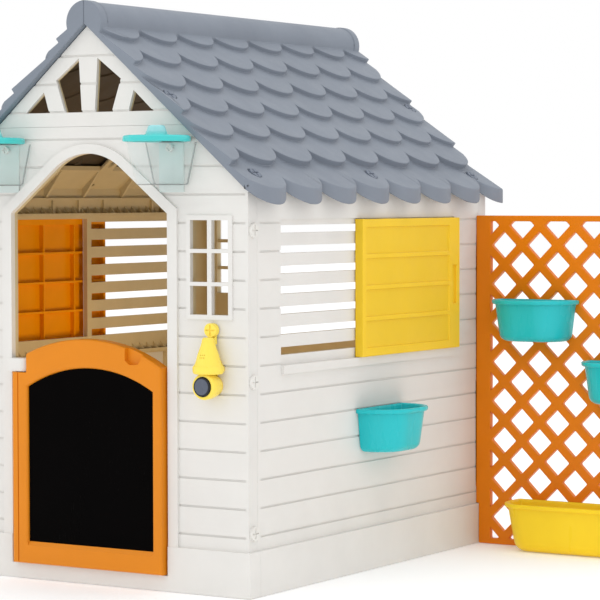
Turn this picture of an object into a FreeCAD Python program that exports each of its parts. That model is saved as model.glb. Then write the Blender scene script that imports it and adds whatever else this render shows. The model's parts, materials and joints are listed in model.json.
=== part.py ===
"""Plastic playhouse: moulded walls, shingled roof, half door, sliding shutters, lanterns, bell, trellis and planters.

Frame: X to the right seen from the front, Y to the rear, Z up. The origin is on the floor, in the outer
face of the front wall, at the middle of the door threshold. All sizes are in millimetres.
"""
import FreeCAD, Part

import math
import os
import re

import Sketcher

V = FreeCAD.Vector
UP = V(0, 0, 1)

doc = FreeCAD.newDocument("playhouse")

# ------------------------------------------------------------------ driving dimensions
DIMENSIONS = [
    ("house_width", 890, "outer faces of the two side walls"),
    ("house_depth", 1150, "outer faces of the front and rear walls"),
    ("wall_skin", 8, "skin of a wall panel"),
    ("wall_edge", 20, "full depth of a wall panel at its edges and ribs"),
    ("fit_gap", 0.5, "clearance between mouldings"),
    ("corner_strip", 37, "return of an end wall round the corner"),
    ("plinth_height", 104, ""),
    ("plinth_proud", 8, ""),
    ("shoulder_height", 927, "top of an end wall at the corner"),
    ("apex_height", 1313, "top of a gable"),
    ("gable_seam", 1076, "joint between an end wall and its gable"),
    ("board_pitch", 65, "spacing of the weatherboard grooves"),
    ("first_groove", 136.5, "height of the lowest groove"),
    ("groove_width", 5, ""),
    ("groove_depth", 3, ""),
    ("door_half_width", 226.5, "half of the door opening"),
    ("door_sill", 36, "top of the threshold"),
    ("rear_sill", 523, "foot of the arched opening in the rear wall"),
    ("jamb_height", 873, "where the jambs start to lean in"),
    ("arch_spring_height", 978, "where the arch starts"),
    ("arch_half_width", 97, ""),
    ("arch_top", 1013, ""),
    ("trim_width", 27, "moulded trim round the door opening"),
    ("trim_proud", 6, ""),
    ("window_left", 289, "front window opening, nearer the door"),
    ("window_right", 393, ""),
    ("window_bottom", 642, ""),
    ("window_top", 858, ""),
    ("window_frame", 11, "raised frame round a front window"),
    ("window_proud", 4, ""),
    ("muntin_centre", 342, ""),
    ("muntin_width", 12, ""),
    ("transom_width", 9, ""),
    ("transom_low", 712.4, ""),
    ("transom_high", 787.7, ""),
    ("muntin_depth", 12, ""),
    ("louvre_front", 139, "side window: first end of the louvres"),
    ("louvre_back", 566, ""),
    ("mullion_width", 19, ""),
    ("side_window_back", 971, ""),
    ("side_window_bottom", 523, ""),
    ("side_window_top", 858, ""),
    ("side_recess", 6, "depth of the channel the shutter slides in"),
    ("louvre_first", 836.5, "middle of the top louvre gap"),
    ("louvre_pitch", 47, ""),
    ("louvre_gap", 18, ""),
    ("louvre_count", 7, ""),
    ("shutter_length", 494, ""),
    ("shutter_height", 334, ""),
    ("shutter_thick", 22, ""),
    ("shutter_start", 481, "front edge of the shutter, pushed back"),
    ("shutter_travel", 342, ""),
    ("leaf_left", -212, "door leaf, hinge edge"),
    ("leaf_right", 221, "door leaf, free edge"),
    ("leaf_bottom", 38, ""),
    ("leaf_shoulder", 517, "height of the leaf at its ends"),
    ("leaf_top", 578, ""),
    ("leaf_front", 26, "leaf stands this far in front of the wall"),
    ("leaf_back", 6, "and this far into the opening"),
    ("board_left", -166, "chalkboard"),
    ("board_right", 196, ""),
    ("board_bottom", 91, ""),
    ("board_shoulder", 461, ""),
    ("board_top", 510, ""),
    ("board_depth", 7, "front of the chalkboard behind the front of the leaf"),
    ("board_thick", 3, ""),
    ("pivot_left", -192, "door hinge line, in the plane of the wall face"),
    ("pivot_radius", 5, ""),
    ("pivot_gap", 0.1, ""),
    ("bracket_bottom", 496, ""),
    ("bracket_height", 31, ""),
    ("bracket_radius", 22, ""),
    ("roof_underside", 1316, "underside of the roof at the ridge"),
    ("roof_overhang", 17, "beyond the gables"),
    ("roof_skin", 10, ""),
    ("eave_reach", 647, "ridge to eave along the slope"),
    ("ridge_radius", 49, ""),
    ("ridge_centre", 1319, ""),
    ("tile_step", 12, "height of a tile's lower edge above the row below"),
    ("tile_rows", 7, ""),
    ("tile_row_start", 35, "lower end of the rows above the ends of the eave tiles"),
    ("tile_row_pitch", 88, ""),
    ("tile_tongue", 53, "depth of the rounded end of a tile"),
    ("tiles_per_row", 7.5, ""),
    ("eave_thick", 33, "thickness of the eave tiles at their ends"),
    ("screw_head_radius", 16, ""),
    ("screw_head_height", 7, ""),
    ("screw_radius", 4.5, ""),
    ("screw_hole_gap", 0.5, ""),
    ("screw_length", 20, "shank, under the head"),
    ("planter_width", 232, ""),
    ("planter_depth", 110, ""),
    ("planter_height", 107, ""),
    ("planter_corner", 82, "radius of its front corners, under the rim"),
    ("planter_taper", 0.87, "floor of a planter over its rim"),
    ("planter_wall", 3, ""),
    ("rim_width", 8, ""),
    ("rim_height", 11, ""),
    ("trough_width", 430, ""),
    ("trough_depth", 125, ""),
    ("trough_height", 124, ""),
    ("trough_corner", 60, ""),
    ("trough_taper", 0.90, ""),
    ("trellis_left", 445.5, ""),
    ("trellis_width", 619, ""),
    ("trellis_height", 861, ""),
    ("trellis_thick", 16, ""),
    ("trellis_front", 1098, ""),
    ("trellis_post", 42, ""),
    ("trellis_rail", 15, ""),
    ("lattice_pitch", 102, "hole to hole across the lattice"),
    ("lattice_slat", 21, ""),
    ("lattice_first_x", 527, ""),
    ("lattice_first_z", 784, ""),
    ("lantern_offset", 238, "from the middle of the door"),
    ("lantern_cap_radius", 78, ""),
    ("lantern_cap_bottom", 1036, ""),
    ("lantern_cap_thick", 15, ""),
    ("lantern_top_radius", 71, ""),
    ("lantern_base_radius", 47, ""),
    ("lantern_base", 938, ""),
    ("lantern_wall", 2.5, ""),
    ("lantern_stand_off", 62, ""),
    ("bell_x", 352, ""),
    ("bell_stand_off", 24, ""),
    ("bell_top", 592, ""),
    ("bell_lip_top", 527, ""),
    ("bell_lip_bottom", 509, ""),
    ("bell_lip_radius", 36, ""),
    ("bell_neck_radius", 14, ""),
    ("bell_ball_height", 481, ""),
    ("bell_ball_radius", 30, ""),
    ("bell_wall", 3, ""),
    ("bell_flat", 48, "front face of the ball, from the wall"),
    ("button_radius", 22, ""),
    ("button_travel", 4, ""),
]

sheet = doc.addObject("Spreadsheet::Sheet", "sizes")
for row, (alias, value, note) in enumerate(DIMENSIONS, start=1):
    sheet.set(f"A{row}", alias)
    sheet.set(f"B{row}", str(value))
    sheet.set(f"C{row}", note)
    sheet.setAlias(f"B{row}", alias)
doc.recompute()
ALIASES = [alias for alias, _, _ in DIMENSIONS]


def size(alias):
    """The value of a cell of the sheet."""
    return float(sheet.get(alias))


def formula(text):
    """A formula written with bare names, with the sheet's name put before each."""
    return re.sub(r"[a-z][a-z_]+", lambda word: "sizes." + word[0] if word[0] in ALIASES else word[0], str(text))


def value(text):
    """The present value of a formula."""
    result = sheet.evalExpression(formula(text))
    return float(getattr(result, "Value", result))


SUBPARTS = []


def keep(obj, label):
    """Names a finished sub-part and puts it on the list of files."""
    obj.Label = label
    SUBPARTS.append(obj)
    return obj


def bind(obj, **properties):
    """Ties properties of an object to formulas on the sheet."""
    for name, text in properties.items():
        obj.setExpression(name, formula(text))


# ------------------------------------------------------------------ outlines, pads and pockets
def new_body(label, base=(0, 0, 0), turn=0):
    """A sub-part with its own placement: a base point and a turn about Z in degrees."""
    body = doc.addObject("PartDesign::Body", label + "_body")
    body.Placement = FreeCAD.Placement(V(*base), FreeCAD.Rotation(UP, turn))
    return keep(body, label)


def new_sketch(body, name, plane="XZ_Plane", behind="0"):
    """An outline plane on an origin plane of its body, moved back behind it by a formula."""
    sketch = body.newObject("Sketcher::SketchObject", name)
    face = [item for item in body.Origin.OriginFeatures if item.Role == plane][0]
    sketch.AttachmentSupport = [(face, "")]
    sketch.MapMode = "FlatFace"
    sketch.AttachmentOffset = FreeCAD.Placement(V(0, 0, -value(behind)), FreeCAD.Rotation())
    sketch.setExpression("AttachmentOffset.Base.z", formula(f"-({behind})"))
    return sketch


def pin_point(sketch, edge, end, axis, text):
    """Ties one coordinate of a point of a sketch edge to a formula."""
    kind = "DistanceX" if axis == 0 else "DistanceY"
    index = sketch.addConstraint(Sketcher.Constraint(kind, -1, 1, edge, end, value(text)))
    sketch.setExpression(f"Constraints[{index}]", formula(text))


def outline(sketch, points, arcs=None):
    """A closed outline, counterclockwise, through points given as formulas.

    arcs maps the number of a side to the radius formula of an arc that bulges outwards there.
    """
    arcs = arcs or {}
    places = [V(value(x), value(y), 0) for x, y in points]
    first = sketch.GeometryCount
    count = len(points)
    for side in range(count):
        start = places[side]
        stop = places[(side + 1) % count]
        if side in arcs:
            radius = value(arcs[side])
            chord = stop - start
            rise = radius - math.sqrt(radius ** 2 - (chord.Length / 2) ** 2)
            outwards = V(chord.y, -chord.x, 0).normalize()
            middle = (start + stop) * 0.5 + outwards * rise
            sketch.addGeometry(Part.Arc(start, middle, stop), False)
        else:
            sketch.addGeometry(Part.LineSegment(start, stop), False)
    for side in range(count):
        after = (side + 1) % count
        sketch.addConstraint(Sketcher.Constraint("Coincident", first + side, 2, first + after, 1))
    for side, (x, y) in enumerate(points):
        pin_point(sketch, first + side, 1, 0, x)
        pin_point(sketch, first + side, 1, 1, y)
    for side, radius in arcs.items():
        index = sketch.addConstraint(Sketcher.Constraint("Radius", first + side, value(radius)))
        sketch.setExpression(f"Constraints[{index}]", formula(radius))


def rectangle(sketch, left, right, bottom, top):
    """A rectangle whose sides lie at four formulas."""
    outline(sketch, [(left, bottom), (right, bottom), (right, top), (left, top)])


def pad(body, sketch, outwards=None, inwards=None):
    """Adds material out of the sketch's side, into the body, or both ways."""
    feature = body.newObject("PartDesign::Pad", sketch.Name + "_pad")
    feature.Profile = sketch
    if outwards and inwards:
        feature.SideType = "Two sides"
        bind(feature, Length=outwards, Length2=inwards)
    elif outwards:
        bind(feature, Length=outwards)
    else:
        feature.Reversed = True
        bind(feature, Length=inwards)
    sketch.Visibility = False
    return feature


def pocket(body, sketch, depth=None):
    """Cuts inwards by a depth, or right through both ways."""
    feature = body.newObject("PartDesign::Pocket", sketch.Name + "_pocket")
    feature.Profile = sketch
    if depth is None:
        feature.SideType = "Symmetric"
        feature.Type = "ThroughAll"
    else:
        bind(feature, Length=depth)
    return feature


def repeat(body, feature, axis, count, pitch):
    """Repeats a feature along an axis of its body."""
    pattern = body.newObject("PartDesign::LinearPattern", feature.Name + "_row")
    pattern.Originals = [feature]
    line = [item for item in body.Origin.OriginFeatures if item.Role == axis][0]
    pattern.Direction = (line, [""])
    pattern.Mode = "Spacing"
    bind(pattern, Occurrences=count, Offset=pitch)
    body.Tip = pattern
    return pattern


def mirrored(points):
    """The same outline on the other side of the vertical axis, again counterclockwise."""
    return [(f"-({x})", y) for x, y in reversed(points)]


def round_hole(sketch, x, y, radius):
    """A circle whose centre and radius are formulas."""
    edge = sketch.addGeometry(Part.Circle(V(value(x), value(y), 0), UP, value(radius)), False)
    pin_point(sketch, edge, 3, 0, x)
    pin_point(sketch, edge, 3, 1, y)
    index = sketch.addConstraint(Sketcher.Constraint("Radius", edge, value(radius)))
    sketch.setExpression(f"Constraints[{index}]", formula(radius))


# ------------------------------------------------------------------ end walls
SHOULDER = "house_width / 2"
ROOF_SLOPE = "(apex_height - shoulder_height) / (house_width / 2)"
SEAM_HALF = f"(apex_height - gable_seam) / ({ROOF_SLOPE})"
ARCH_RISE = "(arch_top - arch_spring_height)"
ARCH_RADIUS = f"(arch_half_width ^ 2 + {ARCH_RISE} ^ 2) / (2 * {ARCH_RISE})"
CORNER_SCREW_HEIGHTS = [146, 491, 835]
CORNER_SCREW_INSET = 19
BELL_SCREW_HEIGHT = 608
LANTERN_SCREW_HEIGHT = 1023


def add_boards(body, left, right, count):
    """Cuts the grooves between the weatherboards."""
    sketch = new_sketch(body, "board_groove")
    low = "first_groove - groove_width / 2"
    rectangle(sketch, left, right, low, "first_groove + groove_width / 2")
    groove = pocket(body, sketch, "groove_depth")
    repeat(body, groove, "Z_Axis", count, "board_pitch")


def add_front_windows(body):
    """Two six-pane windows with a raised frame."""
    frame = new_sketch(body, "window_frames")
    panes = new_sketch(body, "window_panes")
    reveal = new_sketch(body, "window_reveals", behind="muntin_depth")
    columns = [
        ("window_left", "muntin_centre - muntin_width / 2"),
        ("muntin_centre + muntin_width / 2", "window_right"),
    ]
    rows = [
        ("window_bottom", "transom_low - transom_width / 2"),
        ("transom_low + transom_width / 2", "transom_high - transom_width / 2"),
        ("transom_high + transom_width / 2", "window_top"),
    ]
    for side in ("", "-"):
        ends = ("window_left - window_frame", "window_right + window_frame")
        span = [f"{side}({end})" for end in ends]
        rectangle(frame, *ordered(span), "window_bottom - window_frame", "window_top + window_frame")
        span = [f"{side}({end})" for end in ("window_left", "window_right")]
        rectangle(reveal, *ordered(span), "window_bottom", "window_top")
        for left, right in columns:
            for bottom, top in rows:
                rectangle(panes, *ordered([f"{side}({left})", f"{side}({right})"]), bottom, top)
    pad(body, frame, "window_proud", "groove_depth")
    pocket(body, panes)
    pocket(body, reveal, "wall_edge")


def ordered(span):
    """Two formulas, the smaller first."""
    return sorted(span, key=value)


def add_arched_opening(body, sill):
    """The opening with leaning shoulders and an arched head, and the moulded trim round it."""
    trim = new_sketch(body, "opening_trim")
    edge = "door_half_width + trim_width"
    lean = "trim_width * 0.62"
    outline(trim, [
        (f"-({edge})", sill),
        (edge, sill),
        (edge, "jamb_height + trim_width * 0.41"),
        (f"arch_half_width + {lean}", f"arch_spring_height + {lean}"),
        (f"-(arch_half_width + {lean})", f"arch_spring_height + {lean}"),
        (f"-({edge})", "jamb_height + trim_width * 0.41"),
    ], {3: f"{ARCH_RADIUS} + trim_width"})
    pad(body, trim, "trim_proud", "groove_depth")
    opening = new_sketch(body, "arched_opening")
    outline(opening, [
        ("-door_half_width", sill),
        ("door_half_width", sill),
        ("door_half_width", "jamb_height"),
        ("arch_half_width", "arch_spring_height"),
        ("-arch_half_width", "arch_spring_height"),
        ("-door_half_width", "jamb_height"),
    ], {3: ARCH_RADIUS})
    pocket(body, opening)


def add_bays(body, plane, bays):
    """Hollows out the back of a panel between its ribs, down to the skin."""
    sketch = new_sketch(body, "back_bays", plane, "wall_skin")
    for left, right, bottom, top in bays:
        rectangle(sketch, left, right, bottom, top)
    pocket(body, sketch, "wall_edge")


END_BAY_HEIGHT = 198
END_BAY_BOTTOMS = (8, 214, 420)
REAR_BAY_HEIGHT = 163
REAR_BAY_BOTTOMS = (8, 178, 348)


def end_wall(label, turn, door):
    """The front or the rear wall up to the gable seam, with returns round its corners."""
    base = (0, size("house_depth"), 0) if turn else (0, 0, 0)
    body = new_body(label, base, turn)
    wall = new_sketch(body, "wall_outline")
    outline(wall, [
        (f"-({SHOULDER})", "0"),
        (SHOULDER, "0"),
        (SHOULDER, "shoulder_height"),
        (SEAM_HALF, "gable_seam"),
        (f"-({SEAM_HALF})", "gable_seam"),
        (f"-({SHOULDER})", "shoulder_height"),
    ])
    pad(body, wall, inwards="wall_edge")
    add_boards(body, "-house_width / 2 + 5", "house_width / 2 - 5", 15)

    returns = new_sketch(body, "corner_returns")
    inside = "house_width / 2 - wall_skin"
    rectangle(returns, inside, SHOULDER, "0", "shoulder_height")
    rectangle(returns, f"-({SHOULDER})", f"-({inside})", "0", "shoulder_height")
    pad(body, returns, inwards="corner_strip")

    plinth = new_sketch(body, "plinth_front")
    reach = "house_width / 2 + plinth_proud"
    rectangle(plinth, f"-({reach})", reach, "0", "plinth_height")
    pad(body, plinth, "plinth_proud", "groove_depth")
    sides = new_sketch(body, "plinth_sides")
    rectangle(sides, SHOULDER, reach, "0", "plinth_height")
    rectangle(sides, f"-({reach})", f"-({SHOULDER})", "0", "plinth_height")
    pad(body, sides, inwards="corner_strip")

    bays = []
    for side in ("", "-"):
        tab_bay = [f"{side}(house_width / 2 - wall_edge - 1)", f"{side}(house_width / 2 - wall_skin)"]
        bays.append((*ordered(tab_bay), "8", "shoulder_height - 12"))
        for bottom in END_BAY_BOTTOMS:
            span = [f"{side}(door_half_width + 10)", f"{side}(house_width / 2 - wall_edge - 8)"]
            bays.append((*ordered(span), str(bottom), str(bottom + END_BAY_HEIGHT)))
    if not door:
        for bottom in REAR_BAY_BOTTOMS:
            bays.append(("-door_half_width", "door_half_width", str(bottom), str(bottom + REAR_BAY_HEIGHT)))
    add_bays(body, "XZ_Plane", bays)

    add_arched_opening(body, "door_sill" if door else "rear_sill")
    if door:
        socket = new_sketch(body, "pivot_socket", "XY_Plane", "-door_sill")
        round_hole(socket, "pivot_left", "0", "pivot_radius + pivot_gap")
        pocket(body, socket, "20")
    add_front_windows(body)

    for name, start in (("right", SHOULDER), ("left", "-(house_width / 2 - wall_skin)")):
        screws = new_sketch(body, f"corner_screw_holes_{name}", "YZ_Plane", f"-({start})")
        for height in CORNER_SCREW_HEIGHTS:
            round_hole(screws, str(CORNER_SCREW_INSET), str(height), "screw_radius + screw_hole_gap")
        pocket(body, screws, "wall_skin")
    if door:
        fixings = new_sketch(body, "fitting_screw_holes")
        hole = "screw_radius + screw_hole_gap"
        round_hole(fixings, "bell_x", str(BELL_SCREW_HEIGHT), hole)
        round_hole(fixings, "lantern_offset", str(LANTERN_SCREW_HEIGHT), hole)
        round_hole(fixings, "-lantern_offset", str(LANTERN_SCREW_HEIGHT), hole)
        pocket(body, fixings)
    return body


end_wall("front_wall", 0, True)
end_wall("rear_wall", 180, False)


def slope_screw_holes(body, ridge_x, sides, points):
    """Holes for roof screws, square to the slope, in a body whose ridge lies at ridge_x."""
    angle = math.degrees(math.atan(value(ROOF_SLOPE)))
    for side in sides:
        sketch = new_sketch(body, "roof_screw_holes", "XY_Plane")
        sketch.setExpression("AttachmentOffset.Base.z", formula("roof_underside"))
        turn = FreeCAD.Rotation(V(0, 1, 0), side * angle)
        sketch.AttachmentOffset = FreeCAD.Placement(V(ridge_x, 0, size("roof_underside")), turn)
        for slope, depth in points:
            round_hole(sketch, str(side * slope), str(depth), "screw_radius + screw_hole_gap")
        pocket(body, sketch, "screw_length")


# ------------------------------------------------------------------ gables
GABLE_SCREW_SLOPE = 281
GABLE_SCREW_DEPTH = 12
FAN_PETAL = [("19", "1110"), ("68", "1110"), ("94", "1186"), ("27", "1236")]
FAN_CORNER = [("115", "1110"), ("185", "1110"), ("130", "1159")]
FAN_BACK = [("-200", "1104"), ("200", "1104"), ("0", "1277")]
FAN_SKIN = 6
LIP_HALF_WIDTH = 200
LIP_THICK = 6


def gable(label, turn):
    """The triangle over an end wall, with its fan of openings and a lip behind the wall below."""
    base = (0, size("house_depth"), 0) if turn else (0, 0, 0)
    body = new_body(label, base, turn)
    sketch = new_sketch(body, "gable_outline")
    bottom = "gable_seam + fit_gap"
    outline(sketch, [(f"-({SEAM_HALF} - 1)", bottom), (f"{SEAM_HALF} - 1", bottom), ("0", "apex_height")])
    pad(body, sketch, inwards="wall_edge")
    groove = new_sketch(body, "gable_groove")
    height = "(first_groove + 15 * board_pitch)"
    half = "groove_width / 2"
    rectangle(groove, "-house_width / 2", "house_width / 2", f"{height} - {half}", f"{height} + {half}")
    repeat(body, pocket(body, groove, "groove_depth"), "Z_Axis", 3, "board_pitch")
    fans = new_sketch(body, "fan_openings")
    for shape in (FAN_PETAL, FAN_CORNER):
        outline(fans, shape)
        outline(fans, mirrored(shape))
    pocket(body, fans)
    thin = new_sketch(body, "fan_backs", behind=f"wall_edge - {FAN_SKIN}")
    outline(thin, FAN_BACK)
    pocket(body, thin, str(FAN_SKIN))
    lip_ends = (f"-{LIP_HALF_WIDTH}", str(LIP_HALF_WIDTH))
    lip = new_sketch(body, "seam_lip", behind="wall_edge + fit_gap")
    rectangle(lip, *lip_ends, "gable_seam - 26", "gable_seam + 24")
    pad(body, lip, inwards=str(LIP_THICK))
    root = new_sketch(body, "lip_root", behind="wall_edge - 2")
    rectangle(root, *lip_ends, "gable_seam + 6", "gable_seam + 24")
    pad(body, root, inwards="4")
    slope_screw_holes(body, 0, (1, -1), [(GABLE_SCREW_SLOPE, GABLE_SCREW_DEPTH)])
    return body


gable("front_gable", 0)
gable("rear_gable", 180)


# ------------------------------------------------------------------ side walls
HOOK_SPREAD = 51
HOOK_ARM = 5
HOOK_WIDTH = 10
WALL_PLANTER_Y = 591
WALL_HOOK_HEIGHT = 331
GUSSET_PITCH = 33
ROOF_SCREW_DEPTHS = [50, 575, 1100]
EAVE_SCREW_X = 420
TRELLIS_PEG_HEIGHTS = [150, 430, 760]
GUSSET_COUNT = 32
GUSSET_THICK = 3
GUSSET_REACH = 16
LEDGE_REACH = 18
LEDGE_THICK = 7
SIDE_BAY_LEFT = 46
SIDE_BAY_WIDTH = 171
SIDE_BAY_PITCH = 177
SIDE_BAY_ROWS = [(8, 164), (170, 290), (296, 488)]
LOWER_RIBS = [70, 290, 510, 620, 730, 950, 1060]
UPPER_RIBS = [160, 270, 430, 600, 760, 900, 1010]
RIB_WIDTH = "8"
LEAN_REACH = 76
LEAN_RISE = f"(shoulder_height - 2 + {LEAN_REACH} * {ROOF_SLOPE})"
TAB_REACH = 34
TAB_WIDTH = 52
TAB_HOLE_RADIUS = "9"
SIDE_NEAR = "corner_strip + fit_gap"
SIDE_FAR = "house_depth - corner_strip - fit_gap"


def add_side_panel(body):
    """The flat of a side wall: weatherboards, tabs behind the corner strips, and plinth."""
    wall = new_sketch(body, "wall_outline", "YZ_Plane")
    rectangle(wall, SIDE_NEAR, SIDE_FAR, "0", "shoulder_height - 2")
    pad(body, wall, inwards="wall_edge")
    groove = new_sketch(body, "board_groove", "YZ_Plane")
    low, high = "first_groove - groove_width / 2", "first_groove + groove_width / 2"
    rectangle(groove, f"{SIDE_NEAR} + 12", f"{SIDE_FAR} - 12", low, high)
    repeat(body, pocket(body, groove, "groove_depth"), "Z_Axis", 12, "board_pitch")
    tabs = new_sketch(body, "corner_tabs", "YZ_Plane", "wall_skin + fit_gap")
    rectangle(tabs, "wall_skin + fit_gap", f"{SIDE_NEAR} + 1", "10", "shoulder_height - 14")
    rectangle(tabs, f"{SIDE_FAR} - 1", "house_depth - wall_skin - fit_gap", "10", "shoulder_height - 14")
    pad(body, tabs, inwards="wall_edge - wall_skin - fit_gap")
    plinth = new_sketch(body, "plinth", "YZ_Plane")
    rectangle(plinth, SIDE_NEAR, SIDE_FAR, "0", "plinth_height")
    pad(body, plinth, "plinth_proud")


def add_side_openings(body):
    """The shutter's channel and rail, the plain window and the louvres."""
    opening_start = "louvre_back + mullion_width"
    channel = new_sketch(body, "shutter_channel", "YZ_Plane")
    end = "shutter_start + shutter_length + 2"
    rectangle(channel, "louvre_front - 1", end, "side_window_bottom - 1", "side_window_top + 1")
    pocket(body, channel, "side_recess")
    rail = new_sketch(body, "shutter_rail", "YZ_Plane")
    rectangle(rail, "louvre_front", end, "side_window_bottom - 21", "side_window_bottom - 1")
    pad(body, rail, "plinth_proud", "groove_depth")
    window = new_sketch(body, "plain_window", "YZ_Plane")
    rectangle(window, opening_start, "side_window_back", "side_window_bottom + 22", "side_window_top - 4")
    pocket(body, window)
    gap = new_sketch(body, "louvre_gap", "YZ_Plane")
    lowest = "louvre_first - (louvre_count - 1) * louvre_pitch"
    rectangle(gap, "louvre_front", "louvre_back", f"{lowest} - louvre_gap / 2", f"{lowest} + louvre_gap / 2")
    repeat(body, pocket(body, gap), "Z_Axis", "louvre_count", "louvre_pitch")


def add_side_ribs(body):
    """The bays and the gusseted ledges on the inner side."""
    bays = []
    for column in range(6):
        left = SIDE_BAY_LEFT + column * SIDE_BAY_PITCH
        for bottom, top in SIDE_BAY_ROWS:
            bays.append((str(left), str(left + SIDE_BAY_WIDTH), str(bottom), str(top)))
    add_bays(body, "YZ_Plane", bays)
    for name, height in (("upper", "side_window_top + 4"), ("lower", "side_window_bottom - 29")):
        ledge = new_sketch(body, f"{name}_ledge", "YZ_Plane", "wall_edge")
        rectangle(ledge, "50", "house_depth - 50", height, f"{height} + {LEDGE_THICK}")
        pad(body, ledge, inwards=str(LEDGE_REACH))
    for name, height in (("upper", "side_window_top + 4"), ("lower", "side_window_bottom - 22")):
        gusset = new_sketch(body, f"{name}_gusset", "XZ_Plane", "52")
        corner = f"({height} + {LEDGE_THICK})" if name == "upper" else f"({height})"
        tip = f"{corner} + {LEDGE_REACH}"
        outline(gusset, [(f"-wall_edge - {GUSSET_REACH}", corner), ("-wall_edge", corner), ("-wall_edge", tip)])
        web = pad(body, gusset, inwards=str(GUSSET_THICK))
        repeat(body, web, "Y_Axis", GUSSET_COUNT, str(GUSSET_PITCH))


def add_lean(body):
    """The strip that leans in under the roof, with its brick relief and its drilled tab."""
    reach, rise = LEAN_REACH, LEAN_RISE
    lean = new_sketch(body, "roof_lean", "XZ_Plane", "40")
    outline(lean, [
        ("-wall_edge - 1", "shoulder_height - 24"),
        ("0", "shoulder_height - 24"),
        ("0", "shoulder_height - 2"),
        (f"-{reach}", rise),
        (f"-{reach}", f"{rise} - 11"),
        ("-wall_edge - 1", f"shoulder_height - 13 + (wall_edge + 1) * {ROOF_SLOPE}"),
    ])
    pad(body, lean, inwards="house_depth - 80")
    rail = new_sketch(body, "course_rail", "XZ_Plane", "52")
    rectangle(rail, "-wall_edge - 8", "-wall_edge", "shoulder_height - 24", "shoulder_height - 18")
    pad(body, rail, inwards="house_depth - 104")
    for depth in LOWER_RIBS:
        rib = new_sketch(body, "lower_rib", "XZ_Plane", str(depth))
        rectangle(rib, "-wall_edge - 6", "-wall_edge", "side_window_top + 11", "shoulder_height - 22")
        pad(body, rib, inwards=RIB_WIDTH)
    for depth in UPPER_RIBS:
        rib = new_sketch(body, "upper_rib", "XZ_Plane", str(depth))
        outline(rib, [
            ("-wall_edge", "shoulder_height - 24"),
            (f"-{reach} + 3", f"{rise} - 17"),
            (f"-{reach} + 3", f"{rise} - 9"),
            ("-wall_edge", "shoulder_height + 8"),
        ])
        pad(body, rib, inwards=RIB_WIDTH)
    tab = new_sketch(body, "lean_tab", "XZ_Plane", f"house_depth / 2 - {TAB_WIDTH / 2}")
    tip, tip_rise = f"-{reach + TAB_REACH}", f"{rise} + {TAB_REACH} * {ROOF_SLOPE}"
    root, root_rise = f"-{reach} + 1", f"{rise} - {ROOF_SLOPE}"
    outline(tab, [
        (tip, f"{tip_rise} - 11"),
        (root, f"{root_rise} - 11"),
        (root, f"{root_rise} - 3"),
        (tip, f"{tip_rise} - 3"),
    ])
    pad(body, tab, inwards=str(TAB_WIDTH))
    eye = new_sketch(body, "tab_hole", "XY_Plane", f"-({rise} - 20)")
    round_hole(eye, f"-{reach + TAB_REACH / 2}", "house_depth / 2", TAB_HOLE_RADIUS)
    drilled = pocket(body, eye, "60")
    drilled.Reversed = True


def side_wall(label, turn, planter_slots):
    """A side wall. Both are one moulding, turned end for end."""
    half = size("house_width") / 2
    base = (-half, size("house_depth"), 0) if turn else (half, 0, 0)
    body = new_body(label, base, turn)
    add_side_panel(body)
    add_side_openings(body)
    add_side_ribs(body)
    add_lean(body)
    screws = new_sketch(body, "corner_screw_holes", "YZ_Plane")
    for depth in (str(CORNER_SCREW_INSET), f"house_depth - {CORNER_SCREW_INSET}"):
        for level in CORNER_SCREW_HEIGHTS:
            round_hole(screws, depth, str(level), "screw_radius + screw_hole_gap")
    pocket(body, screws, "wall_edge")
    eave_slope = EAVE_SCREW_X / math.cos(math.atan(value(ROOF_SLOPE)))
    slope_screw_holes(body, -half, (1,), [(eave_slope, depth) for depth in ROOF_SCREW_DEPTHS])
    if planter_slots:
        slots = new_sketch(body, "planter_slots", "YZ_Plane")
        for side in (-1, 1):
            middle = WALL_PLANTER_Y + side * HOOK_SPREAD
            ends = (str(middle - 9), str(middle + 9))
            rectangle(slots, *ends, f"{WALL_HOOK_HEIGHT} - 0.3", f"{WALL_HOOK_HEIGHT + 14}")
        pocket(body, slots, "wall_edge")
        pegs = new_sketch(body, "trellis_peg_holes", "YZ_Plane")
        for level in TRELLIS_PEG_HEIGHTS:
            round_hole(pegs, "trellis_front + trellis_thick / 2", str(level), "6")
        pocket(body, pegs, "wall_edge + 10")
    return body


side_wall("right_wall", 0, True)
side_wall("left_wall", 180, False)


# ------------------------------------------------------------------ door
EDGE_RADIUS = "6.5"
STILE_WIDTH = 17
STILE_GROOVE_WIDTH = 3
STILE_GROOVE_DEPTH = "2.5"
GRIP_OUTLINE = [("120", "532"), ("132", "522"), ("156", "523"), ("166", "536"), ("166", "565"), ("120", "575")]
GRIP_DEPTH = "12"
PIN_LENGTH = "60"
LOWER_PIN_DEPTH = 18
UPPER_PIN_DEPTH = 40


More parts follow.
